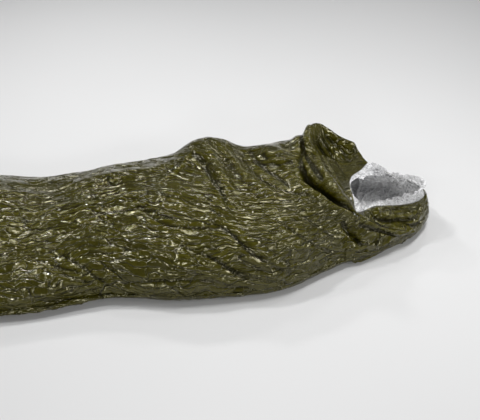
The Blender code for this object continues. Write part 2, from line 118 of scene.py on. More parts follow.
# Folds of the film, in millimetres: crest points, half widths left and right of the run, rise, and the lean.
filmFolds = {
    "collarLip": ([(600, 268, 300), (547, 206, 336), (514, 147, 345), (509, 107, 329), (521, 85, 306),
        (536, 54, 282), (532, -51, 301), (553, -104, 280), (584, -140, 242), (621, -144, 195),
        (655, -155, 165), (684, -168, 144), (705, -180, 130), (730, -186, 112)], 24, 8, 25, -0.3),
    "lipValley": ([(505, 160, 350), (496, 131, 344), (492, 91, 328), (499, 58, 316), (507, 12, 307),
        (515, -51, 303), (531, -88, 285), (540, -100, 279)], 7, 10, -20, 0),
    "ridgeB": ([(483, 0, 308), (488, -31, 301), (498, -54, 292), (511, -75, 285), (530, -96, 277),
        (549, -118, 264), (568, -136, 248), (593, -149, 227)], 11, 12, 20, 0),
    "deepValley": ([(465, 10, 295), (473, -39, 285), (481, -72, 267), (500, -100, 256), (525, -122, 247),
        (550, -142, 235), (568, -153, 224), (592, -161, 211)], 11, 10, -38, 0),
    "ridgeC": ([(407, 18, 280), (424, -16, 273), (444, -54, 266), (463, -83, 258), (481, -104, 251),
        (500, -122, 243), (520, -136, 234), (544, -152, 222), (572, -166, 207), (607, -172, 185),
        (650, -180, 155), (685, -184, 134), (724, -189, 116), (766, -185, 100), (810, -176, 80),
        (863, -155, 62)], 9, 26, 24, 0.4),
    "rollUnder": ([(650, -196, 140), (694, -198, 119), (720, -198, 109), (768, -193, 90), (798, -187, 73),
        (840, -176, 52)], 8, 6, -16, 0),
    "collarCrease": ([(532, 159, 325), (568, 191, 275), (599, 204, 234), (620, 179, 212),
        (635, 88, 219)], 6, 6, -12, 0),
    "collarLeft": ([(492, 125, 341), (490, 94, 329), (476, 47, 310), (471, -12, 301),
        (475, -46, 282)], 8, 12, -16, 0),
    "deepRight": ([(585, -192, 165), (599, -203, 151), (619, -213, 129), (635, -225, 111), (650, -233, 97),
        (665, -240, 80)], 8, 9, -22, 0),
    "collarFlank": ([(455, 262, 250), (478, 236, 300), (493, 206, 335), (499, 172, 345),
        (497, 130, 342)], 24, 13, -29, 0),
    "collarInA": ([(582, 229, 300), (617, 220, 242), (642, 188, 207), (655, 116, 198),
        (664, 51, 192)], 8, 10, -10, 0),
    "collarInB": ([(549, 196, 322), (565, 179, 270), (586, 130, 237), (601, 51, 230), (619, -13, 214),
        (636, -60, 199)], 9, 9, 9, 0),
    "collarInC": ([(610, 236, 285), (650, 215, 250), (690, 185, 215), (712, 160, 185)], 8, 8, -7, 0),
    "collarHollow": ([(596, -22, 228), (617, -55, 211), (636, -76, 196), (654, -88, 184)], 14, 14, -22, 0),
    "hoodFoldB": ([(721, -125, 153), (730, -155, 137), (750, -175, 116), (787, -177, 96)], 7, 8, -8, 0),
    "hoodRimRoll": ([(726, -124, 152), (776, -133, 135), (825, -131, 120), (875, -117, 110),
        (925, -88, 108)], 8, 10, 9, 0),
    "hoodFoldC": ([(845, -141, 102), (892, -131, 75), (929, -107, 64), (964, -74, 65)], 7, 8, -9, 0),
    "hoodFoldD": ([(782, -162, 113), (833, -161, 84), (888, -139, 52), (942, -97, 30)], 9, 9, 10, 0),
    "diagA": ([(252, 199, 249), (295, 20, 265), (367, -86, 262), (472, -131, 244),
        (550, -161, 213)], 7, 8, -9, 0),
    "diagC": ([(-163, -76, 223), (-56, -176, 237), (30, -230, 225)], 7, 7, -8, 0),
    "diagD": ([(-466, -219, 160), (-378, -279, 142), (-305, -331, 106), (-238, -351, 47)], 7, 8, -9, 0),
    "diagE": ([(-568, -237, 158), (-457, -282, 139), (-378, -312, 125), (-305, -335, 100)], 7, 7, -7, 0),
    "diagF": ([(324, -216, 232), (398, -276, 199), (482, -291, 139), (565, -274, 70)], 6, 8, -8, 0),
    "diagG": ([(428, -210, 227), (491, -236, 187), (555, -247, 134)], 6, 7, -8, 0),
    "diagH": ([(70, -354, 159), (172, -379, 124), (276, -388, 84), (389, -366, 38)], 6, 7, -8, 0),
    "topA": ([(273, 146, 256), (331, 81, 269), (394, 38, 282), (453, 27, 307)], 7, 8, -9, 0),
    "topB": ([(300, 197, 260), (366, 107, 296), (441, 89, 306), (485, 94, 327)], 9, 7, 8, 0),
    "kneeA": ([(-458, 140, 168), (-318, 109, 196), (-181, 85, 219), (-65, 84, 238)], 7, 7, -7, 0),
    "kneeB": ([(-367, -63, 186), (-237, -81, 206), (-107, -97, 238), (5, -48, 248)], 7, 7, -7, 0),
    "collarTip": ([(740, 195, 225), (765, 178, 205), (790, 165, 180), (820, 150, 150)], 20, 20, 12, 0),
    "hoodLobe": ([(725, -152, 142), (756, -152, 130), (775, -151, 124), (801, -146, 118), (831, -138, 112),
        (876, -127, 97), (927, -102, 84)], 9, 9, -18, 0),
    "longA": ([(78, -196, 231), (157, -263, 212), (198, -306, 192), (237, -343, 166), (296, -366, 134),
        (364, -371, 87)], 7, 5, -11, 0),
    "longAridge": ([(95, -180, 235), (172, -243, 220), (215, -285, 202), (260, -322, 175),
        (318, -352, 140)], 7, 14, 9, 0),
    "longB": ([(57, -319, 181), (135, -365, 143), (188, -386, 106), (244, -392, 65)], 7, 6, -8, 0),
    "longC": ([(-37, -269, 199), (26, -313, 183), (102, -346, 162), (148, -368, 140),
        (223, -390, 87)], 7, 6, -8, 0),
    "longD": ([(-148, -78, 223), (-99, -161, 221), (-23, -220, 218), (106, -246, 217),
        (171, -268, 210)], 7, 6, -8, 0),
    "longE": ([(-316, -51, 196), (-238, -28, 209), (-155, -21, 225), (-72, -27, 240)], 8, 8, 5, 0),
    "elbowValley": ([(60, 230, 262), (72, 207, 253), (99, 147, 250), (130, 8, 255), (161, -97, 251),
        (170, -180, 238)], 10, 7, -9, 0),
    "elbowRidge": ([(112, 240, 275), (124, 209, 266), (149, 130, 252), (171, 0, 256),
        (186, -101, 252)], 12, 9, 6, 0),
    "elbowRayA": ([(87, 248, 264), (50, 192, 245), (-2, 96, 244), (-67, 25, 241)], 10, 10, 9, 0),
    "elbowRayB": ([(160, 252, 275), (209, 174, 253), (244, 42, 260), (266, -57, 259)], 9, 12, 8, 0),
    "chestA": ([(214, 199, 253), (224, 135, 253), (241, 45, 259), (282, -47, 261), (333, -112, 256),
        (369, -185, 241)], 9, 10, 6, 0),
    "chestB": ([(290, 209, 254), (312, 111, 266), (347, 30, 268), (389, -41, 265),
        (419, -111, 256)], 8, 9, -10, 0),
    "chestC": ([(343, 159, 289), (371, 86, 290), (408, 30, 286), (444, -32, 274)], 9, 9, 8, 0),
    "leftA": ([(-454, -285, 137), (-379, -332, 110), (-290, -344, 83)], 9, 9, -7, 0),
    "lowA": ([(-224, -346, 87), (-106, -367, 102), (18, -383, 108), (117, -393, 87),
        (222, -394, 53)], 8, 8, -8, 0),
    "footCrease": ([(-560, -380, 76), (-484, -377, 63), (-429, -369, 47), (-354, -355, 32),
        (-302, -349, 33), (-253, -350, 37)], 9, 9, -10, 0),
    "streakA": ([(-537, -22, 172), (-447, 6, 176), (-332, -8, 194), (-219, 4, 213)], 8, 8, 5, 0),
    "streakB": ([(-522, -187, 159), (-398, -184, 167), (-255, -199, 183), (-111, -195, 211)], 8, 8, -5, 0),
    "streakC": ([(180, -340, 168), (244, -361, 147), (332, -366, 124), (447, -329, 99),
        (531, -286, 88)], 9, 7, 7, 0),
    "streakD": ([(278, -289, 202), (356, -315, 179), (450, -305, 144), (565, -264, 99)], 9, 7, 7, 0),
    "streakE": ([(-118, -323, 152), (-16, -353, 149), (68, -375, 127), (159, -393, 82)], 8, 8, 6, 0),
}


# A value held between 0 and 1.
def bounded(t):
    return np.clip(t, 0.0, 1.0)


# Smooth step: 3t^2 - 2t^3 between 0 and 1.
def ease(t):
    t = bounded(t)
    return t * t * (3 - 2 * t)


# Fade at both ends of a run: the smooth step of the distance to the nearer end over a width.
def fadeEnds(run, end, width):
    return ease(np.minimum(run, end - run) / width)


# Arrays put together as the parts of vectors.
def stacked(*parts):
    return np.stack(parts, axis=-1)


# Vectors of length 1: each divided by its length.
def unit(vectors):
    return vectors / np.linalg.norm(vectors, axis=-1, keepdims=True)


# Sum of the products of two sets of vectors.
def dots(a, b):
    return np.einsum("...k,...k->...", a, b)


# Row values and column values, each spread over the whole grid.
def onGrid(rows, columns):
    return np.meshgrid(rows, columns, indexing="ij")


# Steps from 0 to 1, on to 2 and so on, with so many points in each part, and one point at each join.
def joinedSteps(*counts):
    parts = [place + np.linspace(0, 1, count)[:-1] for place, count in enumerate(counts)]
    return np.append(np.concatenate(parts), float(len(counts)))


# Cubic curve through knots, the slope at each knot taken from its two neighbours.
def smoothCurve(knots, values, at):
    knots, values = np.asarray(knots, float), np.asarray(values, float)
    slopes = np.gradient(values, knots)
    place = np.clip(np.searchsorted(knots, at, side="right") - 1, 0, len(knots) - 2)
    span = knots[place + 1] - knots[place]
    t = (at - knots[place]) / span
    start = values[place] * (1 + 2 * t) * (1 - t) ** 2 + slopes[place] * span * t * (1 - t) ** 2
    return start + values[place + 1] * t * t * (3 - 2 * t) + slopes[place + 1] * span * t * t * (t - 1)


# Smooth line through points: the cubic curve of each coordinate, in 8 steps from point to point.
def smoothLine(points):
    fine = np.linspace(0, len(points) - 1, 8 * (len(points) - 1) + 1)
    return stacked(*[smoothCurve(np.arange(len(points)), values, fine) for values in points.T])


# Middle line, half width and top height of the body, read off the stations.
def bodySection(along):
    share, near, far, top = np.array(bag["stations"]).T
    at = along / bag["bodyLength"]
    nearHalf, farHalf = smoothCurve(share, near, at), smoothCurve(share, far, at)
    return 0.5 * (farHalf - nearHalf), 0.5 * (farHalf + nearHalf), smoothCurve(share, top, at)


neckMiddle, neckHalf, neckTop = bodySection(np.array(bag["bodyLength"]))


# How far a section has changed from the body's shape to the neck's: a smooth step over the neck's turn.
def neckShare(along):
    return ease((along - bag["bodyLength"] + bag["neckTurn"]) / bag["neckTurn"])


# Place along the bag: the run from the foot, and towards the neck a slant times the place across.
def slanted(along, across):
    return footX + along + bag["neckSlant"] * neckShare(along) * across


# Rise of a large fold: a bell exp(-(d/width)^2) swept along a smooth crest.
def foldRise(crest, width, along, across):
    line = smoothLine(0.001 * np.array(crest))
    width = 0.001 * width
    middle = 0.5 * (line[1:] + line[:-1])
    rise = np.zeros(np.broadcast(along, across).shape)
    for (x, y, height), step in zip(middle, np.hypot(*np.diff(line[:, :2], axis=0).T)):
        rise += height * step * np.exp(-((along - x) ** 2 + (across - y) ** 2) / width**2)
    return rise / (width * math.sqrt(math.pi))


# Push of the film's folds: each a pinched bell exp(-(d/width)^1.5) of the distance d to its smooth crest, its
# width set by the side, tapering to nothing at both ends, leaning sideways, and 1.15 times its rise high. Of
# the distance along the normal only 0.15 counts.
def foldPush(points, normals):
    push = np.zeros(points.shape)
    for crest, left, right, rise, lean in filmFolds.values():
        line = smoothLine(0.001 * np.array(crest, float))
        run = unit(np.gradient(line, axis=0))
        reach = 0.003 * max(left, right)
        inside = np.all((points > line.min(axis=0) - reach) & (points < line.max(axis=0) + reach), axis=-1)
        if not inside.any():
            continue
        near, facing = points[inside], normals[inside]
        nearest = np.linalg.norm(near[:, None] - line[None], axis=-1).argmin(axis=1)
        offset = near - line[nearest]
        offset = offset - 0.85 * facing * dots(offset, facing)[:, None]
        side = np.cross(facing, run[nearest])
        width = 0.001 * np.where(dots(offset, side) > 0, left, right)
        taper = bounded(np.sin(math.pi * nearest / (len(line) - 1))) ** 0.6
        share = 0.00115 * rise * taper * np.exp(-((np.linalg.norm(offset, axis=-1) / width) ** 1.5))
        push[inside] += share[:, None] * (facing + lean * side)
    return push


# Grid of vectors smoothed both ways: a quarter, a half and a quarter of three neighbours, the borders kept.
def smoothed(grid):
    for _ in range(2):
        inner = 0.25 * (grid[:-2] + 2 * grid[1:-1] + grid[2:])
        grid = np.swapaxes(np.concatenate([grid[:1], inner, grid[-1:]]), 0, 1)
    return grid


# Upper film: half an ellipse from seam to seam, sin^fullness high, closed at the toe, with folds on it.
def upperSkin(along, column):
    closing = np.sqrt(bounded(1 - (1 - bounded(along / bag["toeLength"])) ** 2))
    middle, half, top = bodySection(along)
    angle = math.pi * column
    across = middle - half * np.cos(angle)
    x = slanted(along, across)
    base = bag["seamHeight"] + bag["seamClear"]
    fullness = bag["fullness"] + (1 - bag["fullness"]) * neckShare(along)
    z = base + (top - base) * bounded(np.sin(angle)) ** fullness * closing
    fromNeck = x - neckX
    crests = list(largeFolds.values()) + [(crest, pleatWidth) for crest in bodyPleats]
    folds = sum(foldRise(crest, width, fromNeck, across) for crest, width in crests)
    for atAlong, atAcross, rise, radius in 0.001 * np.array(list(mounds.values())):
        folds = folds + rise * np.exp(-((fromNeck - atAlong) ** 2 + (across - atAcross) ** 2) / radius**2)
    offRims = ease((angle - bag["rimNear"]) / bag["rimFade"])
    offRims = offRims * ease((math.pi - bag["rimFar"] - angle) / bag["rimFade"])
    neckFade = 1 - (1 - ease((bodyEnd - along) / bag["neckFade"])) * (1 - offRims)
    drawn = bag["chinDraw"] * np.exp(-((angle - bag["chinTurn"]) / bag["chinSpread"]) ** 2) * offRims
    drawn = drawn - bag["chinTip"] * np.exp(-((angle - bag["chinTipTurn"]) / bag["chinTipSpread"]) ** 2)
    x = x - drawn * ease((along - bodyEnd + bag["chinReach"]) / bag["chinReach"])
    return stacked(x, across, z + folds * ease(np.sin(angle) / 0.4) * neckFade) + bag["centre"]


# Quarter curl of the ground film: inset r(1 - cos) and share of the drop sin, from the seam to the floor.
def curl(turn):
    angle = 0.5 * math.pi * turn
    return bag["curlRadius"] * (1 - np.cos(angle)), np.sin(angle)


# Flat ground film with curls up to the seam: row 0-1 foot curl, 1-2 run; column 0-1 near curl, 1-2 flat,
# 2-3 far curl.
def groundSkin(row, column):
    footInset, footDrop = curl(bounded(row))
    along = footInset + bounded(row - 1) * (bodyEnd - bag["curlRadius"])
    middle, half, _ = bodySection(along)
    nearInset, nearDrop = curl(bounded(column))
    farInset, farDrop = curl(bounded(3 - column))
    flatRun = bounded(column - 1) * 2 * (half - bag["curlRadius"])
    across = middle - half + nearInset + flatRun + bag["curlRadius"] - farInset
    z = (bag["seamHeight"] - bag["seamClear"]) * (1 - footDrop * nearDrop * farDrop)
    x = slanted(along, across)
    return stacked(x, across, z + 0 * x) + bag["centre"]


# Plan outline of the hood, near side to far side: a slanted half ellipse, tucked in by sin(2 turn)^2.
def hoodOutline(turn):
    forward, sideways = np.cos(turn), np.sin(turn)
    tuck = np.where(turn < 0, bag["nearTuck"], bag["farTuck"]) * np.sin(2 * turn) ** 2
    x = neckX + hoodGap + (bag["hoodLength"] - hoodGap) * forward + bag["neckSlant"] * neckHalf * sideways**3
    y = neckMiddle + bag["crownOffset"] * forward + neckHalf * sideways
    return stacked(x - tuck * forward, y - tuck * sideways)


# Scoop of the hood: row 0-1 round it; column 0-1 floor, 1-2 curl, 2-3 wall, on an arc that leans inwards.
def hoodSkin(row, column):
    turn = math.pi * (row - 0.5)
    edge = hoodOutline(turn)
    centre = np.array([neckX + hoodGap, float(neckMiddle)])
    spread = bag["floorSpread"] * neckHalf * np.sin(turn)
    start = stacked(centre[0] + bag["neckSlant"] * spread, centre[1] + spread)
    inward = unit(centre - edge)
    atNeck = np.sin(turn) ** 2
    lean = atNeck * neckHalf * math.hypot(1, bag["neckSlant"]) + (1 - atNeck) * bag["crownLean"]
    height = atNeck * (neckTop - bag["seamHeight"]) + (1 - atNeck) * bag["crownWall"]
    rim = atNeck * np.where(turn < 0, bag["rimNear"], bag["rimFar"]) + (1 - atNeck) * bag["rimCrown"]
    curlInset, curlDrop = curl(2 - np.clip(column, 1, 2))
    wallTurn = rim * bounded(column - 2)
    foot = edge + inward * bag["curlRadius"]
    plan = start + (foot - start) * bounded(column)[..., None]
    plan = plan + inward * ((curlInset - bag["curlRadius"]) * (column > 1))[..., None]
    plan = plan + inward * (lean * (1 - np.cos(wallTurn)))[..., None]
    z = bag["seamHeight"] * (1 - curlDrop) * (column > 1) + height * np.sin(wallTurn)
    return np.concatenate([plan, z[..., None]], axis=-1) + bag["centre"]


# Unit normals of a grid of points, from its differences along rows and columns.
def gridNormals(points):
    normals = np.cross(np.gradient(points, axis=0), np.gradient(points, axis=1))
    return normals / np.maximum(np.linalg.norm(normals, axis=-1, keepdims=True), 1e-12)


# Outward normals of a film round the underside: all turned so that the one at a floor point is down.
def outerNormals(points, row, column):
    normals = gridNormals(points)
    return normals * -np.sign(normals[row, column, 2])


# Points moved along their normals by the rise.
def pushed(points, normals, rise):
    return points + normals * rise[..., None]


# Points kept at a height or above it.
def keptAbove(points, height):
    points[..., 2] = np.maximum(points[..., 2], height)
    return points


# Rise that doesn't go through the floor: on the flat, only a share of it, and inwards.
def offFloor(rise, height, share):
    flat = 1 - ease(height / 0.006)
    return rise * (1 - flat) - share * np.abs(rise) * flat


# Value noise on a lattice of random numbers, eased between its points.
def noise(u, v, seed):
    lattice = np.random.default_rng(seed).uniform(-1, 1, (256, 256))
    iu, iv = np.floor(u).astype(int), np.floor(v).astype(int)
    fu, fv = ease(u - iu), ease(v - iv)
    low = lattice[iu % 256, iv % 256] * (1 - fu) + lattice[(iu + 1) % 256, iv % 256] * fu
    high = lattice[iu % 256, (iv + 1) % 256] * (1 - fu) + lattice[(iu + 1) % 256, (iv + 1) % 256] * fu
    return low * (1 - fv) + high * fv


# Crumple: ridged noise 0.5 - |n| summed over sizes and weights that shrink by 0.52, turned to cross.
def crumple(u, v, size, seed, octaves):
    total, weight = 0.0, 1.0
    for k in range(octaves):
        angle = 0.7 * k + 0.3
        a = u * math.cos(angle) - v * math.sin(angle)
        b = u * math.sin(angle) + v * math.cos(angle)
        total = total + weight * (0.5 - np.abs(noise(a / size + 7.3 * k, b / size + 3.1 * k, seed + k)))
        size, weight = 0.52 * size, 0.52 * weight
    return total


# Rise of crumpled film: a height times the crumple of a size, seed and number of octaves.
def crumpled(u, v, looks):
    height, *pattern = looks
    return height * crumple(u, v, *pattern)


# How far a lining lies loose in its film: a height times its crumple and a lift, never less than nothing.
def looseness(u, v, looks):
    height, lift, *pattern = looks
    return height * np.clip(crumple(u, v, *pattern) + lift, 0, 2)


# Folds of a film that comes down to the floor: they fade in over the first 3 cm above it.
def foldsOffFloor(points, normals):
    return foldPush(points, normals) * ease(points[..., 2:] / 0.03)


# Creases: each adds a pinched ridge exp(-|off|/width), tapered along its run, on its own part of the grid.
def creaseField(along, girth, creases):
    rise = np.zeros((len(along), len(girth)))
    for s, t, angle, reach, width, height, bend in creases:
        c, n = math.cos(angle), math.sin(angle)
        halfS = abs(c) * reach + 4 * width
        halfT = abs(n) * reach + 4 * width
        r = slice(*np.searchsorted(along, (s - halfS, s + halfS)))
        k = slice(*np.searchsorted(girth, (t - halfT, t + halfT)))
        ds, dt = along[r, None] - s, girth[None, k] - t
        run = ds * c + dt * n
        off = dt * c - ds * n - bend * run * run
        rise[r, k] += height * np.exp(-np.abs(off) / width) * bounded(1 - (run / reach) ** 2) ** 1.5
    return rise


# Depth of each point below its surroundings, by a moving average: 0.5 where level, 1 in a hollow. The olive
# films use it as painted shade in the hollows and painted highlight on the ridges.
def hollowOf(rise, steps, depth):
    mean, size = rise, 2 * steps + 1
    for _ in range(2):
        padded = np.concatenate([0 * mean[:1], mean[[0] * steps], mean, mean[[-1] * steps]])
        summed = np.cumsum(padded, axis=0)
        mean = ((summed[size:] - summed[:-size]) / size).T
    return bounded(0.5 - 0.5 * (rise - mean) / depth)


# Grid of points as a mesh: quads facing the side where the normals point, with a UV map in metres.
def gridMesh(name, points, uv, flip, closeRows):
    rows, columns = points.shape[:2]
    index = np.arange(rows * columns).reshape(rows, columns)
    if closeRows:
        index = np.vstack([index, index[:1]])
        uv = np.concatenate([uv, uv[-1:] + (uv[-1:] - uv[-2:-1])])
    quads = stacked(index[:-1, :-1], index[1:, :-1], index[1:, 1:], index[:-1, 1:]).reshape(-1, 4)
    corners = np.stack([uv[:-1, :-1], uv[1:, :-1], uv[1:, 1:], uv[:-1, 1:]], axis=2).reshape(-1, 4, 2)
    if flip:
        quads, corners = quads[:, ::-1], corners[:, ::-1]
    mesh = bpy.data.meshes.new(name)
    mesh.from_pydata(points.reshape(-1, 3).tolist(), [], quads.tolist())
    mesh.uv_layers.new(name="film").data.foreach_set("uv", corners.ravel())
    mesh.shade_smooth()
    return mesh


# Object of some data, in the scene.
def addObject(name, data):
    item = bpy.data.objects.new(name, data)
    bpy.context.scene.collection.objects.link(item)
    return item


# A finished piece: its mesh and hollows, its material, its body and the node it stands for.
def makePiece(name, points, uv, material, node, flip=False, paintedShading=None, closeRows=False):
    mesh = gridMesh(name, points, uv, flip, closeRows)
    if paintedShading is not None:
        layer = mesh.attributes.new("paintedShading", "FLOAT", "POINT")
        layer.data.foreach_set("value", paintedShading.astype(np.float32).ravel())
    mesh.materials.append(material)
    piece = addObject(name, mesh)
    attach(piece, "root")
    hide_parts(node)
    print("piece made:", piece.name, len(mesh.vertices), "points")
    return piece


# Lining piece: a grid with its rows and columns in metres as its UV.
def makeLining(name, points, rows, columns, node):
    return makePiece(name, points, stacked(*onGrid(rows, columns)), bright, node)


# Shader maths: one output socket, whose operators add Math nodes to the same tree.
class Wire:
    def __init__(self, tree, end):
        self.tree, self.end = tree, end

    def math(self, operation, first, second):
        return addNode(self.tree, "ShaderNodeMath", {"operation": operation}, {0: first, 1: second})

    def __add__(self, other):
        return self.math("ADD", self, other)

    def __sub__(self, other):
        return self.math("SUBTRACT", self, other)

    def __rsub__(self, other):
        return self.math("SUBTRACT", other, self)

    def __mul__(self, other):
        return self.math("MULTIPLY", self, other)

    __radd__ = __add__
    __rmul__ = __mul__


# Any node: its type, its settings first, then the values or links of its sockets by name or place.
def addNode(tree, kind, settings=None, sockets=None, out=0):
    node = tree.nodes.new(kind)
    for name, value in (settings or {}).items():
        setattr(node, name, value)
    for name, value in (sockets or {}).items():
        if isinstance(value, Wire):
            tree.links.new(value.end, node.inputs[name])
        else:
            node.inputs[name].default_value = value
    return Wire(tree, node.outputs[out]) if node.outputs else None


# New material with an empty tree.
def newMaterial(name):
    material = bpy.data.materials.new(name)
    material.use_nodes = True
    material.node_tree.nodes.clear()
    return material, material.node_tree


# New material of a film, and the film's own UV in metres.
def filmMaterial(name):
    material, tree = newMaterial(name)
    return material, tree, addNode(tree, "ShaderNodeUVMap", {"uv_map": "film"})


# End of a material: a principled shader with the given sockets, on its output.
def closeMaterial(material, sockets):
    shader = addNode(material.node_tree, "ShaderNodeBsdfPrincipled", None, sockets)
    addNode(material.node_tree, "ShaderNodeOutputMaterial", None, {"Surface": shader})
    return material


# Vector maths on wires: a and b put together by the operation.
def vectorMath(operation, a, b=None, out=0):
    sockets = {0: a} if b is None else {0: a, 1: b}
    return addNode(a.tree, "ShaderNodeVectorMath", {"operation": operation}, sockets, out)


# Cloudy noise over the film: its value, or its colour where out is 1.
def clouds(place, scale, detail, out=0):
    return addNode(place.tree, "ShaderNodeTexNoise", {"noise_dimensions": "2D"},
                   {"Vector": place, "Scale": scale, "Detail": detail}, out)


# Random tilt of each facet: its cell colour, centred, times an amount.
def tilt(cells, amount):
    centred = vectorMath("SUBTRACT", cells, (0.5, 0.5, 0.5))
    return addNode(cells.tree, "ShaderNodeVectorMath", {"operation": "SCALE"},
                   {0: centred, "Scale": amount})


# Place moved by cloudy noise: place + amount * (its colour - 0.5).
def swayed(place, uv, scale, amount):
    return vectorMath("ADD", place, tilt(clouds(uv, scale, 2.0, 1), amount))


# Facets of crumpled film: cell colours and edge distances of a stretched, turned Voronoi pattern.
def facets(place, angle, cell, shift):
    turned = addNode(place.tree, "ShaderNodeMapping", {"vector_type": "TEXTURE"}, {
        "Vector": place, "Location": (shift, 0.37 * shift, 0), "Rotation": (0, 0, angle),
        "Scale": (*cell, 1)})
    return [addNode(place.tree, "ShaderNodeTexVoronoi", {"voronoi_dimensions": "2D", "feature": feature},
                    {"Vector": turned, "Scale": 1.0}, out)
            for feature, out in (("F1", 1), ("DISTANCE_TO_EDGE", 0))]


# One random number for each facet: half its cell colour's red and half its green.
def facetValue(cells):
    return vectorMath("DOT_PRODUCT", cells, (0.5, 0.5, 0.0), out=1)


# Normal of the surface with the tilts of its facets added to it.
def tiltedNormal(first, *others):
    for other in others:
        first = vectorMath("ADD", first, other)
    facing = addNode(first.tree, "ShaderNodeNewGeometry", None, None, 1)
    return vectorMath("NORMALIZE", vectorMath("ADD", facing, first))


# Value carried from one range to another, smooth and held at its ends.
def remap(value, low, high, start=0.0, end=1.0):
    return addNode(value.tree, "ShaderNodeMapRange", {"interpolation_type": "SMOOTHSTEP"},
                   {"Value": value, "From Min": low, "From Max": high, "To Min": start, "To Max": end})


# Value between two ends: low + (high - low) * share.
def between(ends, share):
    return ends[0] + (ends[1] - ends[0]) * share


# Colour between two: a Mix node led by the share.
def colourMix(share, first, second):
    return addNode(share.tree, "ShaderNodeMix", {"data_type": "RGBA"},
                   {0: share, 6: (*first, 1), 7: (*second, 1)}, 2)


oliveLooks = {
    "dark": (0.006, 0.0053, 0.0002),
    "light": (0.054, 0.0485, 0.0012),
    "tone": 1.0,
    "roughness": (0.03, 0.07),
    "ior": 1.58,
    "tint": (1.0, 0.95, 0.66),
    "fineCell": (0.0100, 0.0046),
    "fineTurn": 0.5,
    "fineTilt": (0.36, 0.18),
    "dashCell": (0.022, 0.0068),
    "dashTurn": 0.95,
    "dashTilt": 0.20,
    "streakCell": (0.055, 0.020),
    "streakTilt": 0.62,
    "creaseCell": (0.190, 0.030),
    "bump": 0.7,
    "bumpEdges": (0.12, 0.10),  # widths of crease and streak
    "bumpShares": (0.35, 0.1),  # of streak and grain
    "sway": (9.0, 0.07),  # scale, amount
    "drift": (55.0, 0.007),
    "clusters": (17.0, 3.0),  # scale, detail
    "patches": (7.0, 3.0),
    "grain": (260.0, 3.0),
    "gathered": (0.42, 0.54, 0.35, 1.0),  # from and to in the clusters, least and most of the crinkle
    "fineAlong": (0.55, 1.0),  # metres from the foot, between which the fine tilt changes
    # painted shade along the edges of creases and streaks: its width, and how light it leaves each
    "lines": (0.05, 0.35, 0.65),  # width, and how light those of crease and streak are
    # shares of the colour: plain, painted shade in hollows and painted highlight on ridges, random patches of
    # tone, and the painted reflections of the streak, fine and dash facets
    "shares": {"plain": 0.38, "paintedShading": 0.80, "patches": 0.10, "streak": 0.10, "fine": 0.12, "dash": 0.06},
    "contrast": (0.05, 0.85),
}


# Olive film: fine facets gathered in clusters, slanted dashes and longer streaks between them. Its colour
# holds painted shade along the edges of the streaks and of the long creases, painted shade in the hollows,
# painted highlight on the ridges, and a painted reflection that makes each facet lighter or darker at random.
def oliveFilm(name, looks):
    material, tree, uv = filmMaterial(name)
    along = addNode(tree, "ShaderNodeSeparateXYZ", None, {0: uv})
    warped = swayed(swayed(uv, uv, *looks["sway"]), uv, *looks["drift"])
    clusters = clouds(warped, *looks["clusters"])
    patches = clouds(uv, *looks["patches"])
    grain = clouds(uv, *looks["grain"])
    fine, _ = facets(warped, looks["fineTurn"], looks["fineCell"], 0.0)
    dash, _ = facets(warped, looks["dashTurn"], looks["dashCell"], 7.7)
    streak, streakEdge = facets(warped, 0.0, looks["streakCell"], 3.1)
    _, creaseEdge = facets(warped, -0.05, looks["creaseCell"], 5.3)
    crinkled = remap(clusters, *looks["gathered"])
    fineTilt = crinkled * remap(along, *looks["fineAlong"], *looks["fineTilt"])
    normal = tiltedNormal(tilt(streak, looks["streakTilt"]), tilt(fine, fineTilt),
                          tilt(dash, looks["dashTilt"]))
    creaseWide, streakWide = looks["bumpEdges"]
    streakShare, grainShare = looks["bumpShares"]
    height = remap(creaseEdge, 0.0, creaseWide) + streakShare * remap(streakEdge, 0.0, streakWide)
    height = height + grainShare * grain
    bumped = addNode(tree, "ShaderNodeBump", None, {
        "Strength": looks["bump"], "Distance": 0.006, "Height": height, "Normal": normal})
    # depth below the surroundings, read from the mesh, for painted shade in the hollows and painted highlight
    # on the ridges
    paintedShading = addNode(tree, "ShaderNodeAttribute", {"attribute_name": "paintedShading"}, None, 2)
    share = looks["shares"]
    # painted reflection: each streak, fine and dash facet lighter or darker at random; the patches are random
    # tone
    shade = share["streak"] * facetValue(streak) + share["fine"] * crinkled * facetValue(fine)
    shade = shade + share["paintedShading"] * (0.5 - paintedShading) + share["patches"] * patches
    shade = shade + share["dash"] * facetValue(dash) + share["plain"]
    # painted shade along the edges of the streaks and of the long creases
    wide, creaseLight, streakLight = looks["lines"]
    lines = remap(creaseEdge, 0.0, wide, creaseLight, 1.0) * remap(streakEdge, 0.0, wide, streakLight, 1.0)
    dark, light = [[looks["tone"] * c for c in looks[end]] for end in ("dark", "light")]
    return closeMaterial(material, {
        "Base Color": colourMix(remap(shade * lines, *looks["contrast"]), dark, light), "IOR": looks["ior"],
        "Specular Tint": (*looks["tint"], 1), "Roughness": between(looks["roughness"], grain),
        "Normal": bumped})


liningLooks = {
    "dark": (0.84, 0.84, 0.85),
    "light": (0.95, 0.95, 0.95),
    "metallic": 0.0,
    "roughness": (0.08, 0.26),
    "drift": (70.0, 0.014),
    "fineCell": (0.0095, 0.0075),
    "fineTilt": 1.0,
    "streakCell": (0.028, 0.010),
    "streakTilt": 0.8,
    "turns": (0.5, -0.6),  # of the fine facets and the streaks, in radians
    "grain": (300.0, 2.0),
    "contrast": (0.05, 0.50),
}


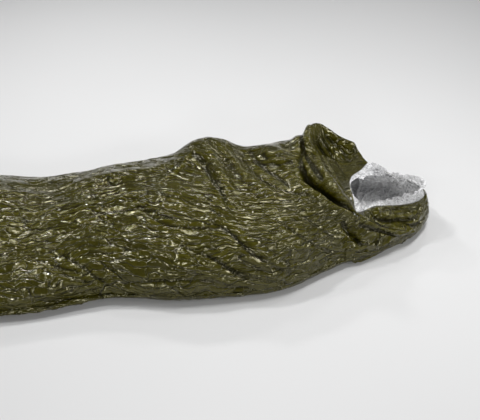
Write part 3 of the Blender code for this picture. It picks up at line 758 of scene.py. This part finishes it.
# Bright lining: crumpled pale film, its facets strong and each of its own grey, with painted shade along its
# creases.
def brightFilm(name, looks):
    material, _, uv = filmMaterial(name)
    warped = swayed(uv, uv, *looks["drift"])
    grain = clouds(uv, *looks["grain"])
    fineTurn, streakTurn = looks["turns"]
    fine, fineEdge = facets(warped, fineTurn, looks["fineCell"], 0.0)
    streak, streakEdge = facets(warped, streakTurn, looks["streakCell"], 1.7)
    normal = tiltedNormal(tilt(fine, looks["fineTilt"]), tilt(streak, looks["streakTilt"]))
    # painted shade along the edges of the streaks and of the fine facets
    lines = remap(streakEdge, 0.0, 0.10) * remap(fineEdge, 0.0, 0.08, 0.5, 1.0)
    shade = (0.5 * facetValue(fine) + 0.5 * facetValue(streak)) * (0.6 + 0.4 * lines)
    return closeMaterial(material, {
        "Base Color": colourMix(remap(shade, *looks["contrast"]), looks["dark"], looks["light"]),
        "Metallic": looks["metallic"], "Roughness": between(looks["roughness"], grain), "Normal": normal})


clearLooks = {
    "base": (0.90, 0.90, 0.91),
    "drift": (60.0, 0.016),
    "cell": (0.010, 0.007),
    "tilt": 0.9,
    "alpha": (0.30, 0.95),
    "haze": (40.0, 3.0),
    "solid": (0.55, 0.5, 0.7),  # shares of the creases, the facets and the haze
    "roughness": (0.06, 0.20),
}


# Clear film: crumpled, see-through between its creases and white along them.
def clearFilm(name, looks):
    material, _, uv = filmMaterial(name)
    cells, edge = facets(swayed(uv, uv, *looks["drift"]), 0.5, looks["cell"], 0.0)
    haze = clouds(uv, *looks["haze"])
    normal = tiltedNormal(tilt(cells, looks["tilt"]))
    lines = remap(edge, 0.0, 0.14, 1.0, 0.0)
    lineShare, facetShare, hazeShare = looks["solid"]
    solid = remap(lineShare * lines + facetShare * facetValue(cells) + hazeShare * haze, 0.35, 1.0)
    return closeMaterial(material, {
        "Base Color": (*looks["base"], 1), "Alpha": between(looks["alpha"], solid),
        "Roughness": between(looks["roughness"], haze), "Normal": normal})


hoodOliveLooks = {**oliveLooks, "fineTilt": (0.42, 0.42), "fineTurn": 0.3, "streakTilt": 0.7}
olive = oliveFilm("oliveFilm", oliveLooks)
hoodOlive = oliveFilm("hoodOliveFilm", hoodOliveLooks)
bright = brightFilm("brightLining", liningLooks)
clear = clearFilm("clearFilm", clearLooks)
weld = oliveFilm("oliveWeld", {**oliveLooks, "fineTilt": (0.5, 0.5), "tone": 0.85})
print("materials made")


# Which way a crease goes: six in ten up, the others down at 0.8 of the height.
def creaseWay(rng):
    return 1 if rng.uniform() < 0.6 else -0.8


# Random creases of a sheet, size by size: place, direction and its spread, reach, width, height and bend.
def randomCreases(looks, direction=lambda s, t: 0.0, wayFirst=True):
    rng = np.random.default_rng(looks["seed"])
    creases = []
    for count, reach, width, height, spread in looks["creases"]:
        for _ in range(count):
            way = creaseWay(rng) if wayFirst else None
            s = rng.uniform(0, looks["length"])
            t = rng.uniform(looks["margin"], looks["width"] - looks["margin"])
            angle = direction(s, t) + math.radians(spread) * rng.normal()
            way = way or creaseWay(rng)
            creases.append((s, t, angle, rng.uniform(*reach), rng.uniform(*width), way * rng.uniform(*height),
                            rng.normal() * 2.0))
    return creases


upperLooks = {
    "rows": 346,
    "toeRows": 33,
    "columns": 280,
    "length": bag["bodyLength"],
    "width": bag["girth"],
    "margin": 0.02,
    "seed": 11,
    "creases": [  # count, reach, width, height, spread of the direction in degrees
        (240, (0.06, 0.18), (0.0035, 0.0060), (0.0016, 0.0042), 9),
        (480, (0.020, 0.065), (0.0030, 0.0042), (0.0005, 0.0014), 15),
        (1000, (0.007, 0.018), (0.0026, 0.0036), (0.0002, 0.0006), 60),
    ],
    "turning": (0.85, 0.35),  # the wrinkles turn: metres from the foot, over how many
    "wayDegrees": (4, -48, 8),  # of the straight part, and what the diagonal part and the collar add
    "calm": (0.40, 0.75, 0.9),  # least of the creases, what patches add, and how sharp these are
    "swell": 0.004,
    "crumple": (0.0030, 0.050, 21, 3),  # height, size, seed, octaves
    "stretch": 0.24,  # share of the length that the crumple counts, which draws it out along the bag
    "fineCrumple": (0.0006, 0.016, 27, 2),
    "fades": (0.03, 0.014),  # at the sides, at the ends
    "liningRows": 200,
    "liningColumns": 130,
    "liningPast": (0.014, 0.0005),  # on past the neck: by the walls, between them
    "liningDown": (2.2, 0.20, 0.06),  # how much steeper, from which height, over which height
    "liningFade": 0.04,  # share of the girth in which the one length past the neck turns into the other
}
liningGap, liningClear, liningRun = 0.0025, 0.0008, 0.016  # below the film, off the floor, on past an edge


# Direction of the wrinkles on the upper film, in radians from the bag's length towards the far side.
def wrinkleDirection(s, t):
    start, over = upperLooks["turning"]
    straight, diagonal, collar = upperLooks["wayDegrees"]
    turned = ease((s - start) / over) * ease((t / bag["girth"] - 0.15) / 0.35)
    return math.radians(straight + diagonal * float(turned) + collar * float(ease((s - 1.42) / 0.10)))


# Shear that lays the pattern along the wrinkles: the slope tan(35) of their diagonal part, summed up.
def flowShear(s, t):
    start, over = upperLooks["turning"]
    part = bounded((s - start) / over)
    summed = over * (part**3 - 0.5 * part**4) + np.maximum(s - (start + over), 0)
    return 0.7 * ease((t / bag["girth"] - 0.05) / 0.6) * summed


# Length of a line or surface from its first row or column, summed over its steps.
def arcLength(points, axis=0):
    steps = np.linalg.norm(np.diff(points, axis=axis), axis=-1)
    return np.concatenate([0 * steps.take([0], axis), np.cumsum(steps, axis)], axis)


# Outer film of the upper side: base surface, rise by creases and crumple, fading to its edges, and UV.
def upperSheet(looks):
    toeTurns = 0.5 * math.pi * np.linspace(0, 1, looks["toeRows"] + 1)[:-1]
    straight = np.linspace(bag["toeLength"], bodyEnd, looks["rows"] - looks["toeRows"])
    along = np.concatenate([bag["toeLength"] * (1 - np.cos(toeTurns)), straight])
    column = np.linspace(0, 1, looks["columns"])
    girth = bag["girth"] * column
    skin = upperSkin(*onGrid(along, column))
    rise = creaseField(along, girth, randomCreases(looks, wrinkleDirection, wayFirst=False))
    s, t = arcLength(skin), arcLength(skin, 1)
    least, more, sharp = looks["calm"]
    rise = rise * (least + more * ease(0.5 + sharp * noise(s / 0.10, t / 0.055, 7)))
    flow = t + flowShear(s, t)
    stretched = looks["stretch"] * s
    rise += looks["swell"] * noise(s / 0.12, t / 0.10, 5) + crumpled(stretched, flow, looks["crumple"])
    rise += crumpled(s, t, looks["fineCrumple"])
    sideFade, endFade = looks["fades"]
    edge = fadeEnds(girth, bag["girth"], sideFade) * fadeEnds(along, bodyEnd, endFade)[:, None]
    return along, girth, skin, rise * edge, stacked(s, flow)


# Points of a grid at other row and column places, between the four points around each.
def gridAt(points, rows, columns, newRows, newColumns):
    r = np.clip(np.interp(newRows, rows, np.arange(len(rows))), 0, len(rows) - 1.000001)
    c = np.clip(np.interp(newColumns, columns, np.arange(len(columns))), 0, len(columns) - 1.000001)
    ir, ic = r.astype(int), c.astype(int)
    fr, fc = (r - ir)[:, None, None], (c - ic)[None, :, None]
    low = points[ir][:, ic] * (1 - fr) + points[ir + 1][:, ic] * fr
    high = points[ir][:, ic + 1] * (1 - fr) + points[ir + 1][:, ic + 1] * fr
    return low * (1 - fc) + high * fc


# A grid with one more row, straight on from its last two rows by a length.
def runOn(points, length):
    return np.concatenate([points, points[-1:] + length * unit(points[-1] - points[-2])[None]])


# Lower envelope of a rise: the least value within some steps each way, along the rows and then the columns.
def lowerEnvelope(rise, steps):
    for _ in range(2):
        shifted = [rise]
        for k in range(1, steps + 1):
            shifted += [np.concatenate([rise[:k], rise[:-k]]), np.concatenate([rise[k:], rise[-k:]])]
        rise = np.min(shifted, axis=0).T
    return rise


# Share of the small creases that stays where a large fold is: less, the further the fold moves the film.
def calmNear(push):
    return 1 - 0.6 * ease(np.linalg.norm(push, axis=-1) / 0.010)


upperAlong, upperGirth, upperBase, upperRise, upperUv = upperSheet(upperLooks)
upperNormals = gridNormals(upperBase)
upperFolds = smoothed(foldPush(upperBase, upperNormals))
upperRise = upperRise * calmNear(upperFolds)
upperLevel = upperRise + dots(upperFolds, upperNormals)
foldedBase = upperBase + upperFolds
upperPiece = makePiece(
    "upperOuterFilm", pushed(foldedBase, gridNormals(foldedBase), upperRise), upperUv, olive,
    "outer_upper_panel", paintedShading=hollowOf(upperLevel, 4, 0.0045))

# Upper lining, on a coarser grid: below the lower envelope of the film, and more straight down where that
# stands high, so that it stays inside the collar. Past the neck it runs on by the rims.
lowest = lowerEnvelope(upperLevel, 8)
steepness, fromHeight, overHeight = upperLooks["liningDown"]
steeper = unit(upperNormals + (0, 0, steepness) * ease((upperBase[..., 2:] - fromHeight) / overHeight))
under = pushed(upperBase, steeper, lowest + 0.4 * np.minimum(lowest, 0) - liningGap)
liningAlong = np.interp(np.linspace(0, 1, upperLooks["liningRows"]), np.linspace(0, 1, len(upperAlong)),
                        upperAlong)
liningGirth = np.linspace(0, bag["girth"], upperLooks["liningColumns"])
liningShare = liningGirth / bag["girth"]
offNear, offFar = liningShare - bag["rimNear"] / math.pi, 1 - bag["rimFar"] / math.pi - liningShare
offWalls = ease(offNear / upperLooks["liningFade"]) * ease(offFar / upperLooks["liningFade"])
liningPoints = gridAt(under, upperAlong, upperGirth, liningAlong, liningGirth)
liningPoints = runOn(liningPoints, between(upperLooks["liningPast"], offWalls)[:, None])
liningAlong = np.append(liningAlong, bodyEnd + upperLooks["liningPast"][0])
upperLining = makeLining("upperLining", liningPoints, liningAlong, liningGirth, "lining_upper_panel")

# Ground film: the crinkles go up from the floor on the flat, and both ways on the curls.
groundLooks = {
    "rows": 300,
    "columns": 110,
    "curlSteps": 14,
    "length": 1.75,
    "width": 0.81,
    "margin": 0,
    "curlLength": 0.07,
    "curlMore": 0.025,  # how much longer a curl is than its plan
    "edgeFade": 0.02,
    "seed": 31,
    "creases": [(90, (0.04, 0.12), (0.007, 0.012), (0.002, 0.004), 25),
                (900, (0.015, 0.05), (0.004, 0.007), (0.001, 0.0022), 40)],
    "crumple": (0.0012, 0.03, 41, 3),
    "flatShare": 0.6,
    "loose": (0.006, 0, 0.06, 51, 4),  # height, lift, size, seed, octaves
    "liningRows": 220,
    "liningColumns": 110,
}
curlLength, groundWidth = groundLooks["curlLength"], groundLooks["width"]
groundRows = joinedSteps(groundLooks["curlSteps"], groundLooks["rows"])
groundColumns = joinedSteps(groundLooks["curlSteps"], groundLooks["columns"], groundLooks["curlSteps"])
rowMetres = np.interp(groundRows, (0, 1, 2), (0, curlLength, bodyEnd + groundLooks["curlMore"]))
columnMetres = np.interp(groundColumns, (0, 1, 2, 3), (0, curlLength, groundWidth - curlLength, groundWidth))
groundBase = groundSkin(*onGrid(groundRows, groundColumns))
groundS, groundT = onGrid(rowMetres, columnMetres)
groundRise = creaseField(rowMetres, columnMetres, randomCreases(groundLooks))
groundRise = offFloor(groundRise + crumpled(groundS, groundT, groundLooks["crumple"]), groundBase[..., 2],
                      groundLooks["flatShare"])
groundEdge = fadeEnds(rowMetres, rowMetres[-1], groundLooks["edgeFade"])[:, None]
groundEdge = fadeEnds(columnMetres, groundWidth, groundLooks["edgeFade"]) * groundEdge
groundNormals = outerNormals(groundBase, len(groundRows) // 2, len(groundColumns) // 2)
groundPiece = makePiece(
    "groundOuterFilm", keptAbove(pushed(groundBase, groundNormals, groundRise * groundEdge), 0.0),
    stacked(groundS, groundT), olive, "outer_ground_panel", flip=True,
    paintedShading=hollowOf(groundRise, 4, 0.004))

# Ground lining: inside the film, lying loose in a crumple of its own.
groundUnder = pushed(groundBase, groundNormals, lowerEnvelope(groundRise * groundEdge, 3) - liningGap)
groundLoose = looseness(groundS, groundT, groundLooks["loose"])
groundUnder = pushed(groundUnder, groundNormals, -groundLoose * groundEdge)
liningRows = np.linspace(0, rowMetres[-1], groundLooks["liningRows"])
liningColumns = np.linspace(0, groundWidth, groundLooks["liningColumns"])
groundSheet = runOn(gridAt(groundUnder, rowMetres, columnMetres, liningRows, liningColumns), liningRun)
liningRows = np.append(liningRows, liningRows[-1] + liningRun)
groundLining = makeLining("groundLining", keptAbove(groundSheet, liningClear), liningRows, liningColumns,
                          "lining_ground_panel")

# Hood: outer film with folds that run round it, and its lining inside.
hoodLooks = {
    "rows": 380,
    "floor": 36,
    "curl": 26,
    "wall": 62,
    "length": 0.88,  # round the hood
    "width": 0.34,  # from its floor's middle up to its rim
    "margin": 0,
    "upTo": (0, 0.13, 0.20, 0.34),  # the same at the ends of floor, curl and wall
    "seed": 61,
    "creases": [(34, (0.05, 0.14), (0.005, 0.009), (0.004, 0.009), 14),
                (330, (0.015, 0.050), (0.003, 0.0055), (0.0012, 0.0028), 28),
                (700, (0.006, 0.016), (0.0022, 0.0034), (0.0006, 0.0012), 60)],
    "crumple": (0.0040, 0.030, 71, 3),
    "stretch": 0.4,  # draws it out round the hood
    "flatShare": 0.5,
    "fades": (0.015, 0.008),  # at the ends, at the rim
    "loose": (0.016, 0.15, 0.05, 81, 5),
    "tight": (0.345, 0.02),  # how far up the lining comes to the film, over how much below that
}
hoodRows = np.linspace(0, 1, hoodLooks["rows"])
hoodColumns = joinedSteps(hoodLooks["floor"], hoodLooks["curl"], hoodLooks["wall"])
hoodAround = hoodLooks["length"] * hoodRows
hoodUp = np.interp(hoodColumns, (0, 1, 2, 3), hoodLooks["upTo"])
hoodBase = hoodSkin(*onGrid(hoodRows, hoodColumns))
hoodS, hoodT = onGrid(hoodAround, hoodUp)
hoodRise = creaseField(hoodAround, hoodUp, randomCreases(hoodLooks))
hoodRise = hoodRise + crumpled(hoodLooks["stretch"] * hoodS, hoodT, hoodLooks["crumple"])
hoodRise = offFloor(hoodRise, hoodBase[..., 2], hoodLooks["flatShare"])
endFade, rimFade = hoodLooks["fades"]
hoodEdge = fadeEnds(hoodAround, hoodLooks["length"], endFade)[:, None]
hoodEdge = hoodEdge * ease((hoodLooks["width"] - hoodUp) / rimFade)
hoodNormals = outerNormals(hoodBase, hoodLooks["rows"] // 2, 10)
hoodFolds = foldsOffFloor(hoodBase, hoodNormals)
hoodRise = hoodRise * calmNear(hoodFolds) * hoodEdge
hoodBase = hoodBase + hoodFolds
hoodPoints = keptAbove(pushed(hoodBase, hoodNormals, hoodRise), 0.0)
hoodPiece = makePiece(
    "hoodOuterFilm", hoodPoints, stacked(hoodS, hoodT), hoodOlive,
    "outer_hood", flip=True, paintedShading=hollowOf(hoodRise + dots(hoodFolds, hoodNormals), 5, 0.004))

# Hood lining: crumpled loosely inside the film, tight only at the rim, and run on at both ends.
hoodLoose = looseness(hoodS, hoodT, hoodLooks["loose"])
tightFrom, tightOver = hoodLooks["tight"]
hoodUnder = pushed(hoodBase, hoodNormals, lowerEnvelope(hoodRise, 3) - liningGap)
hoodUnder = pushed(hoodUnder, hoodNormals, -hoodLoose * ease((tightFrom - hoodT) / tightOver))
hoodUnder = keptAbove(runOn(runOn(hoodUnder, liningRun)[::-1], liningRun)[::-1], liningClear)
liningAround = np.concatenate([[-liningRun], hoodAround, [hoodLooks["length"] + liningRun]])
hoodLining = makeLining("hoodLining", hoodUnder, liningAround, hoodUp, "hood_lining")

# Band over the neck weld: it runs a little way on to the films on both sides of the neck.
bandLooks = {
    "overlap": 0.012,
    "rows": 15,
    "wall": 56,
    "curl": 14,
    "flat": 60,
    "acrossTo": (0, 0.16, 0.23, 0.68, 0.75, 0.88),
    "lift": 0.0009,
    "crumple": (0.002, 0.012, 91, 3),
}


# Neck band: row -1.5 to -0.5 on the body's films, -0.5 to 0.5 over the gap, 0.5 to 1.5 on the hood's film;
# column 0-1 near wall, 1-2 near curl, 2-3 flat, 3-4 far curl, 4-5 far wall.
def bandSkin(row, column):
    overlap, around = bandLooks["overlap"], hoodLooks["length"]
    back = bounded(-row - 0.5) * overlap
    ahead = bounded(row - 0.5) * overlap / around
    onWall = (column < 1) | (column > 4)
    angle = np.where(column < 1, bag["rimNear"] * (1 - column), math.pi - bag["rimFar"] * (column - 4))
    upper = upperSkin(bodyEnd - back, bounded(angle / math.pi))
    ground = groundSkin(2 - back / bodyEnd, np.clip(column - 1, 0, 3))
    body = np.where(onWall[..., None], upper, ground)
    near = hoodSkin(ahead, np.clip(3 - column, 1, 3))
    far = hoodSkin(1 - ahead, np.clip(column - 2, 1, 3))
    hood = np.where((column < 2)[..., None], near, far)
    across = (2 * column - 5) * (neckHalf - bag["curlRadius"])
    past = neckX + 0.5 * bag["neckBand"] + ahead * around + bag["neckSlant"] * across
    flat = stacked(past, neckMiddle + across, 0 * across) + bag["centre"]
    hood = np.where(((column > 2) & (column < 3))[..., None], flat, hood)
    share = ease(row + 0.5)[..., None]
    return body * (1 - share) + hood * share


bandRows = np.linspace(-1.5, 1.5, bandLooks["rows"])
bandColumns = joinedSteps(*[bandLooks[part] for part in ("wall", "curl", "flat", "curl", "wall")])
bandBase = bandSkin(*onGrid(bandRows, bandColumns))
bandNormals = outerNormals(bandBase, bandLooks["rows"] // 2, bandLooks["wall"] + bandLooks["curl"] + 20)
bandBase = bandBase + foldsOffFloor(bandBase, bandNormals)
bandAcross = np.interp(bandColumns, range(6), bandLooks["acrossTo"])
bandS, bandT = onGrid(bandLooks["overlap"] * bandRows, bandAcross)
bandRise = bandLooks["lift"] + crumpled(bandS, bandT, bandLooks["crumple"])
neckPiece = makePiece(
    "neckWeld", keptAbove(pushed(bandBase, bandNormals, bandRise), 0.0), stacked(bandS, bandT), hoodOlive,
    "neck_seam", paintedShading=hollowOf(bandRise, 3, 0.003))

# Side and foot welds: widths as (share of the run, metres), and how far each turns down, in radians.
weldLooks = {
    "nearSideWeld": {
        "node": "near_side_seam", "turn": 1.6, "seed": 101,
        "widths": [(0, 0.010), (0.08, 0.017), (0.20, 0.019), (0.34, 0.021), (0.41, 0.018), (0.47, 0.008),
                   (1, 0.007)]},
    "farSideWeld": {
        "node": "far_side_seam", "turn": 0.8, "seed": 111,
        "widths": [(0, 0.012), (0.2, 0.018), (0.5, 0.012), (1, 0.010)]},
    "footWeld": {
        "node": "foot_seam", "turn": 0.7, "seed": 121,
        "widths": [(0, 0.012), (0.5, 0.016), (1, 0.012)]},
}
weldWave, weldCrumple = 0.22, 0.0030  # share of the width, metres


# Film strip along a seam: out from its line by its width, turning down on an arc, wavy towards its free edge.
def weldStrip(name, line, outward, flip):
    looks = weldLooks[name]
    s, v = onGrid(arcLength(line), np.linspace(-0.25, 1, 12))
    width = smoothCurve(*np.array(looks["widths"]).T, s / s[-1, 0])
    beyond = bounded(v)
    turn = looks["turn"] * beyond
    outPart = width * np.where(v < 0, v, np.sin(turn) / looks["turn"])
    points = line[:, None] + outPart[..., None] * outward[:, None]
    wavy = weldWave * width * beyond * noise(s / 0.03, v * 1.5, looks["seed"])
    fine = weldCrumple * (beyond + 0.15) * (crumple(s, width * v, 0.018, looks["seed"] + 5, 3) - 0.35)
    points[..., 2] += wavy + fine - width * ((1 - np.cos(turn)) / looks["turn"])
    points = keptAbove(points, 0.0004 + 0.0012 * (1 + noise(s / 0.01, 3 * v, 7)))
    return makePiece(name, points, stacked(s, width * v), weld, looks["node"], flip=flip,
                     paintedShading=hollowOf(wavy + fine, 2, 0.003))


seamZ = np.array([0, 0, bag["seamHeight"]])
sideAlong = np.linspace(0.004, bodyEnd, 520)
for side, name in ((0, "nearSideWeld"), (1, "farSideWeld")):
    line = upperSkin(sideAlong, np.full(len(sideAlong), float(side))) * (1, 1, 0) + seamZ
    tangent = np.gradient(line, axis=0)
    outward = unit(stacked(-tangent[:, 1], tangent[:, 0], 0 * tangent[:, 0])) * (1 if side else -1)
    weldStrip(name, line, outward, side == 1)
footColumns = np.linspace(0, 1, 260)
footLine = upperSkin(0 * footColumns, footColumns) * (1, 1, 0) + seamZ
footPiece = weldStrip("footWeld", footLine, np.tile([-1.0, 0, 0], (len(footColumns), 1)), True)

# Hem of the opening: a loose frill of clear film round the body's edge and the hood's rim.
# Its lengths and turns go by the share of the ring: 0-1 the body's edge from near to far, 1-2 the rim back.
hemLooks = {
    "around": 640,
    "across": 22,
    "tuck": 0.012,
    "sink": 0.0045,
    "lift": 0.0012,
    "lengths": [(0, 0.044), (0.10, 0.030), (0.22, 0.006), (0.5, 0.010), (0.65, 0.045), (0.80, 0.085),
                (0.92, 0.085), (1.0, 0.070), (1.2, 0.060), (1.4, 0.056), (1.52, 0.066), (1.64, 0.062),
                (1.74, 0.030), (1.88, 0.012), (1.95, 0.020), (2.0, 0.044)],
    "turns": [(0, 2.2), (0.10, 1.8), (0.3, 1.2), (0.6, 0.7), (0.85, 0.6), (1.0, 0.7), (1.2, 0.8), (1.4, 0.9),
              (1.52, 1.8), (1.64, 2.2), (1.74, 1.8), (1.9, 1.6), (2.0, 2.2)],
    "crumple": 0.010,
    "sizes": [(0.022, 131, 1.4), (0.010, 141, 0.6)],  # of the crumple: size, seed, share
    "closing": (0.93, 0.07),  # the crumple blends into its start: from which share of the ring, over how much
}


# Moving average round a closed ring of vectors.
def ringAverage(values, steps):
    return sum(np.roll(values, k, axis=0) for k in range(-steps, steps + 1)) / (2 * steps + 1)


# Hem ring: the film's edge, the direction on past it and the outward normal, all round the opening.
def hemRing(count):
    column = np.linspace(bag["rimNear"] / math.pi, 1 - bag["rimFar"] / math.pi, 300)
    neck, before = [upperSkin(np.full(300, end), column) for end in (bodyEnd, bodyEnd - 0.01)]
    rim, below = [hoodSkin(np.linspace(1, 0, 500), np.full(500, end)) for end in (3.0, 2.95)]
    edge = np.concatenate([neck, rim, neck[:1]])
    onward = unit(np.concatenate([neck - before, rim - below, (neck - before)[:1]]))
    share = np.concatenate([np.linspace(0, 1, 300), np.linspace(1.0001, 2, 500), [2]])
    run = arcLength(edge)
    at = np.linspace(0, run[-1], count, endpoint=False)
    edge, onward = [stacked(*[np.interp(at, run, part) for part in ring.T]) for ring in (edge, onward)]
    onward = ringAverage(onward, 5)
    beside = np.roll(edge, -1, axis=0) - np.roll(edge, 1, axis=0)
    outward = unit(ringAverage(unit(np.cross(onward, beside)), 5))
    return at, np.interp(at, run, share), edge, unit(onward), outward


hemRun, hemShare, hemEdge, hemOn, hemOut = hemRing(hemLooks["around"])
hemOut = hemOut * np.sign(hemOut[len(hemOut) // 5, 2])
hemEdge = hemEdge + foldPush(hemEdge, hemOut)
hemLength, hemTurn = [smoothCurve(*np.array(hemLooks[part]).T, hemShare)[:, None]
                      for part in ("lengths", "turns")]
hemOver = np.linspace(-1, 1, hemLooks["across"])[None, :]
hemBeyond = bounded(hemOver)
hemAngle = hemTurn * hemBeyond
hemForward = hemLooks["tuck"] * np.minimum(hemOver, 0) + hemLength / hemTurn * np.sin(hemAngle)
hemUp = hemLength / hemTurn * (1 - np.cos(hemAngle)) - hemLooks["sink"] * (hemOver < 0.02)
ringSize = hemRun[-1] + hemRun[1]
closeFrom, closeOver = hemLooks["closing"]
hemBack = ease((hemRun / ringSize - closeFrom) / closeOver)[:, None]


# Crumple of the hem, blended over its last part into that before the start, so that the ring closes.
def hemCrumple(size, seed):
    across = hemLength * hemOver
    first = crumple(hemRun[:, None] + 0 * across, across, size, seed, 4)
    again = crumple(hemRun[:, None] - ringSize + 0 * across, across, size, seed, 4)
    return first * (1 - hemBack) + again * hemBack - 0.45


hemRough = hemLooks["crumple"] * np.minimum(1, hemLength / 0.030) * (0.12 + hemBeyond)
hemRough = hemRough * sum(hemCrumple(size, seed) * share for size, seed, share in hemLooks["sizes"])
hemForward = hemForward - np.sin(hemAngle) * hemRough
hemUp = hemUp + np.cos(hemAngle) * hemRough + hemLooks["lift"]
hemPoints = hemEdge[:, None] + hemForward[..., None] * hemOn[:, None] + hemUp[..., None] * hemOut[:, None]
hemUv = stacked(hemRun[:, None] + 0 * hemOver, hemLength * hemOver)
hemPiece = makePiece("mouthHem", hemPoints, hemUv, clear, "mouth_hem", closeRows=True)
stageLooks = {
    "floor": (0.70, 0.70, 0.70),
    "floorHalf": 40,
    "world": (0.92, 0.93, 0.95),
    "worldStrength": 0.15,
    "lights": [  # name, place, aimed at, size x, size y, watts
        ("overhead", (-0.75, 0.85, 2.6), (-0.45, 0.3, 0.1), 0.34, 0.26, 26),
        ("above", (1.10, 0.05, 2.6), (0.6, 0.0, 0.1), 0.64, 0.52, 30),
        ("left", (-2.4, 0.2, 1.8), (0.0, 0.0, 0.1), 0.35, 0.25, 9),
        ("back", (-0.8, 2.8, 2.3), (-0.5, 0.9, 0.0), 0.55, 0.25, 26),
        ("backRight", (1.9, 2.5, 2.3), (1.3, 1.9, 0.0), 0.40, 0.22, 15),
        ("front", (-0.2, -2.5, 1.2), (0.0, 0.0, 0.1), 0.90, 0.28, 18),
        ("side", (2.6, -1.1, 1.0), (0.7, -0.1, 0.1), 0.50, 0.40, 13),
        ("right", (1.9, 0.9, 2.4), (0.65, 0.05, 0.1), 0.38, 0.34, 10),
    ],
    "azimuth": -7,
    "elevation": 36,
    "distance": 3.0,
    "aim": (0.254, 0.151, 0.0),
    "focal": 54,
}


# Lamp or camera at a place, its back turned along a direction.
def placeAt(name, data, place, back):
    item = addObject(name, data)
    item.location = place
    item.rotation_euler = (-back).to_track_quat("-Z", "Y").to_euler()
    return item


# Pale floor, soft area lights and the camera at the photographed angle.
def makeStage(looks):
    material, tree = newMaterial("paleFloor")
    place = addNode(tree, "ShaderNodeTexCoord", None, None, 3)
    cloudy = addNode(tree, "ShaderNodeTexNoise", None, {"Vector": place, "Scale": 0.8, "Detail": 3.0})
    colour = colourMix(cloudy, [0.97 * c for c in looks["floor"]], looks["floor"])
    closeMaterial(material, {"Base Color": colour, "Roughness": 0.7})
    mesh = bpy.data.meshes.new("floor")
    half = looks["floorHalf"]
    corners = [(-half, -half, 0), (half, -half, 0), (half, half, 0), (-half, half, 0)]
    mesh.from_pydata(corners, [], [(0, 1, 2, 3)])
    mesh.materials.append(material)
    addObject("floor", mesh)
    world = bpy.data.worlds.new("studio")
    world.use_nodes = True
    background = world.node_tree.nodes["Background"]
    background.inputs["Color"].default_value = (*looks["world"], 1)
    background.inputs["Strength"].default_value = looks["worldStrength"]
    bpy.context.scene.world = world
    for name, at, aim, sizeX, sizeY, watts in looks["lights"]:
        light = bpy.data.lights.new(name, "AREA")
        light.shape, light.size, light.size_y, light.energy = "RECTANGLE", sizeX, sizeY, watts
        placeAt(name, light, at, Vector(at) - Vector(aim))
    azimuth, elevation = math.radians(looks["azimuth"]), math.radians(looks["elevation"])
    back = Vector((math.sin(azimuth) * math.cos(elevation), -math.cos(azimuth) * math.cos(elevation),
                   math.sin(elevation)))
    lens = bpy.data.cameras.new("camera")
    lens.lens, lens.sensor_width = looks["focal"], 36
    camera = placeAt("camera", lens, Vector(looks["aim"]) + back * looks["distance"], back)
    bpy.context.scene.camera = camera
    bpy.context.scene.view_settings.view_transform = "Standard"
    print("stage made:", len(looks["lights"]), "lights")


makeStage(stageLooks)
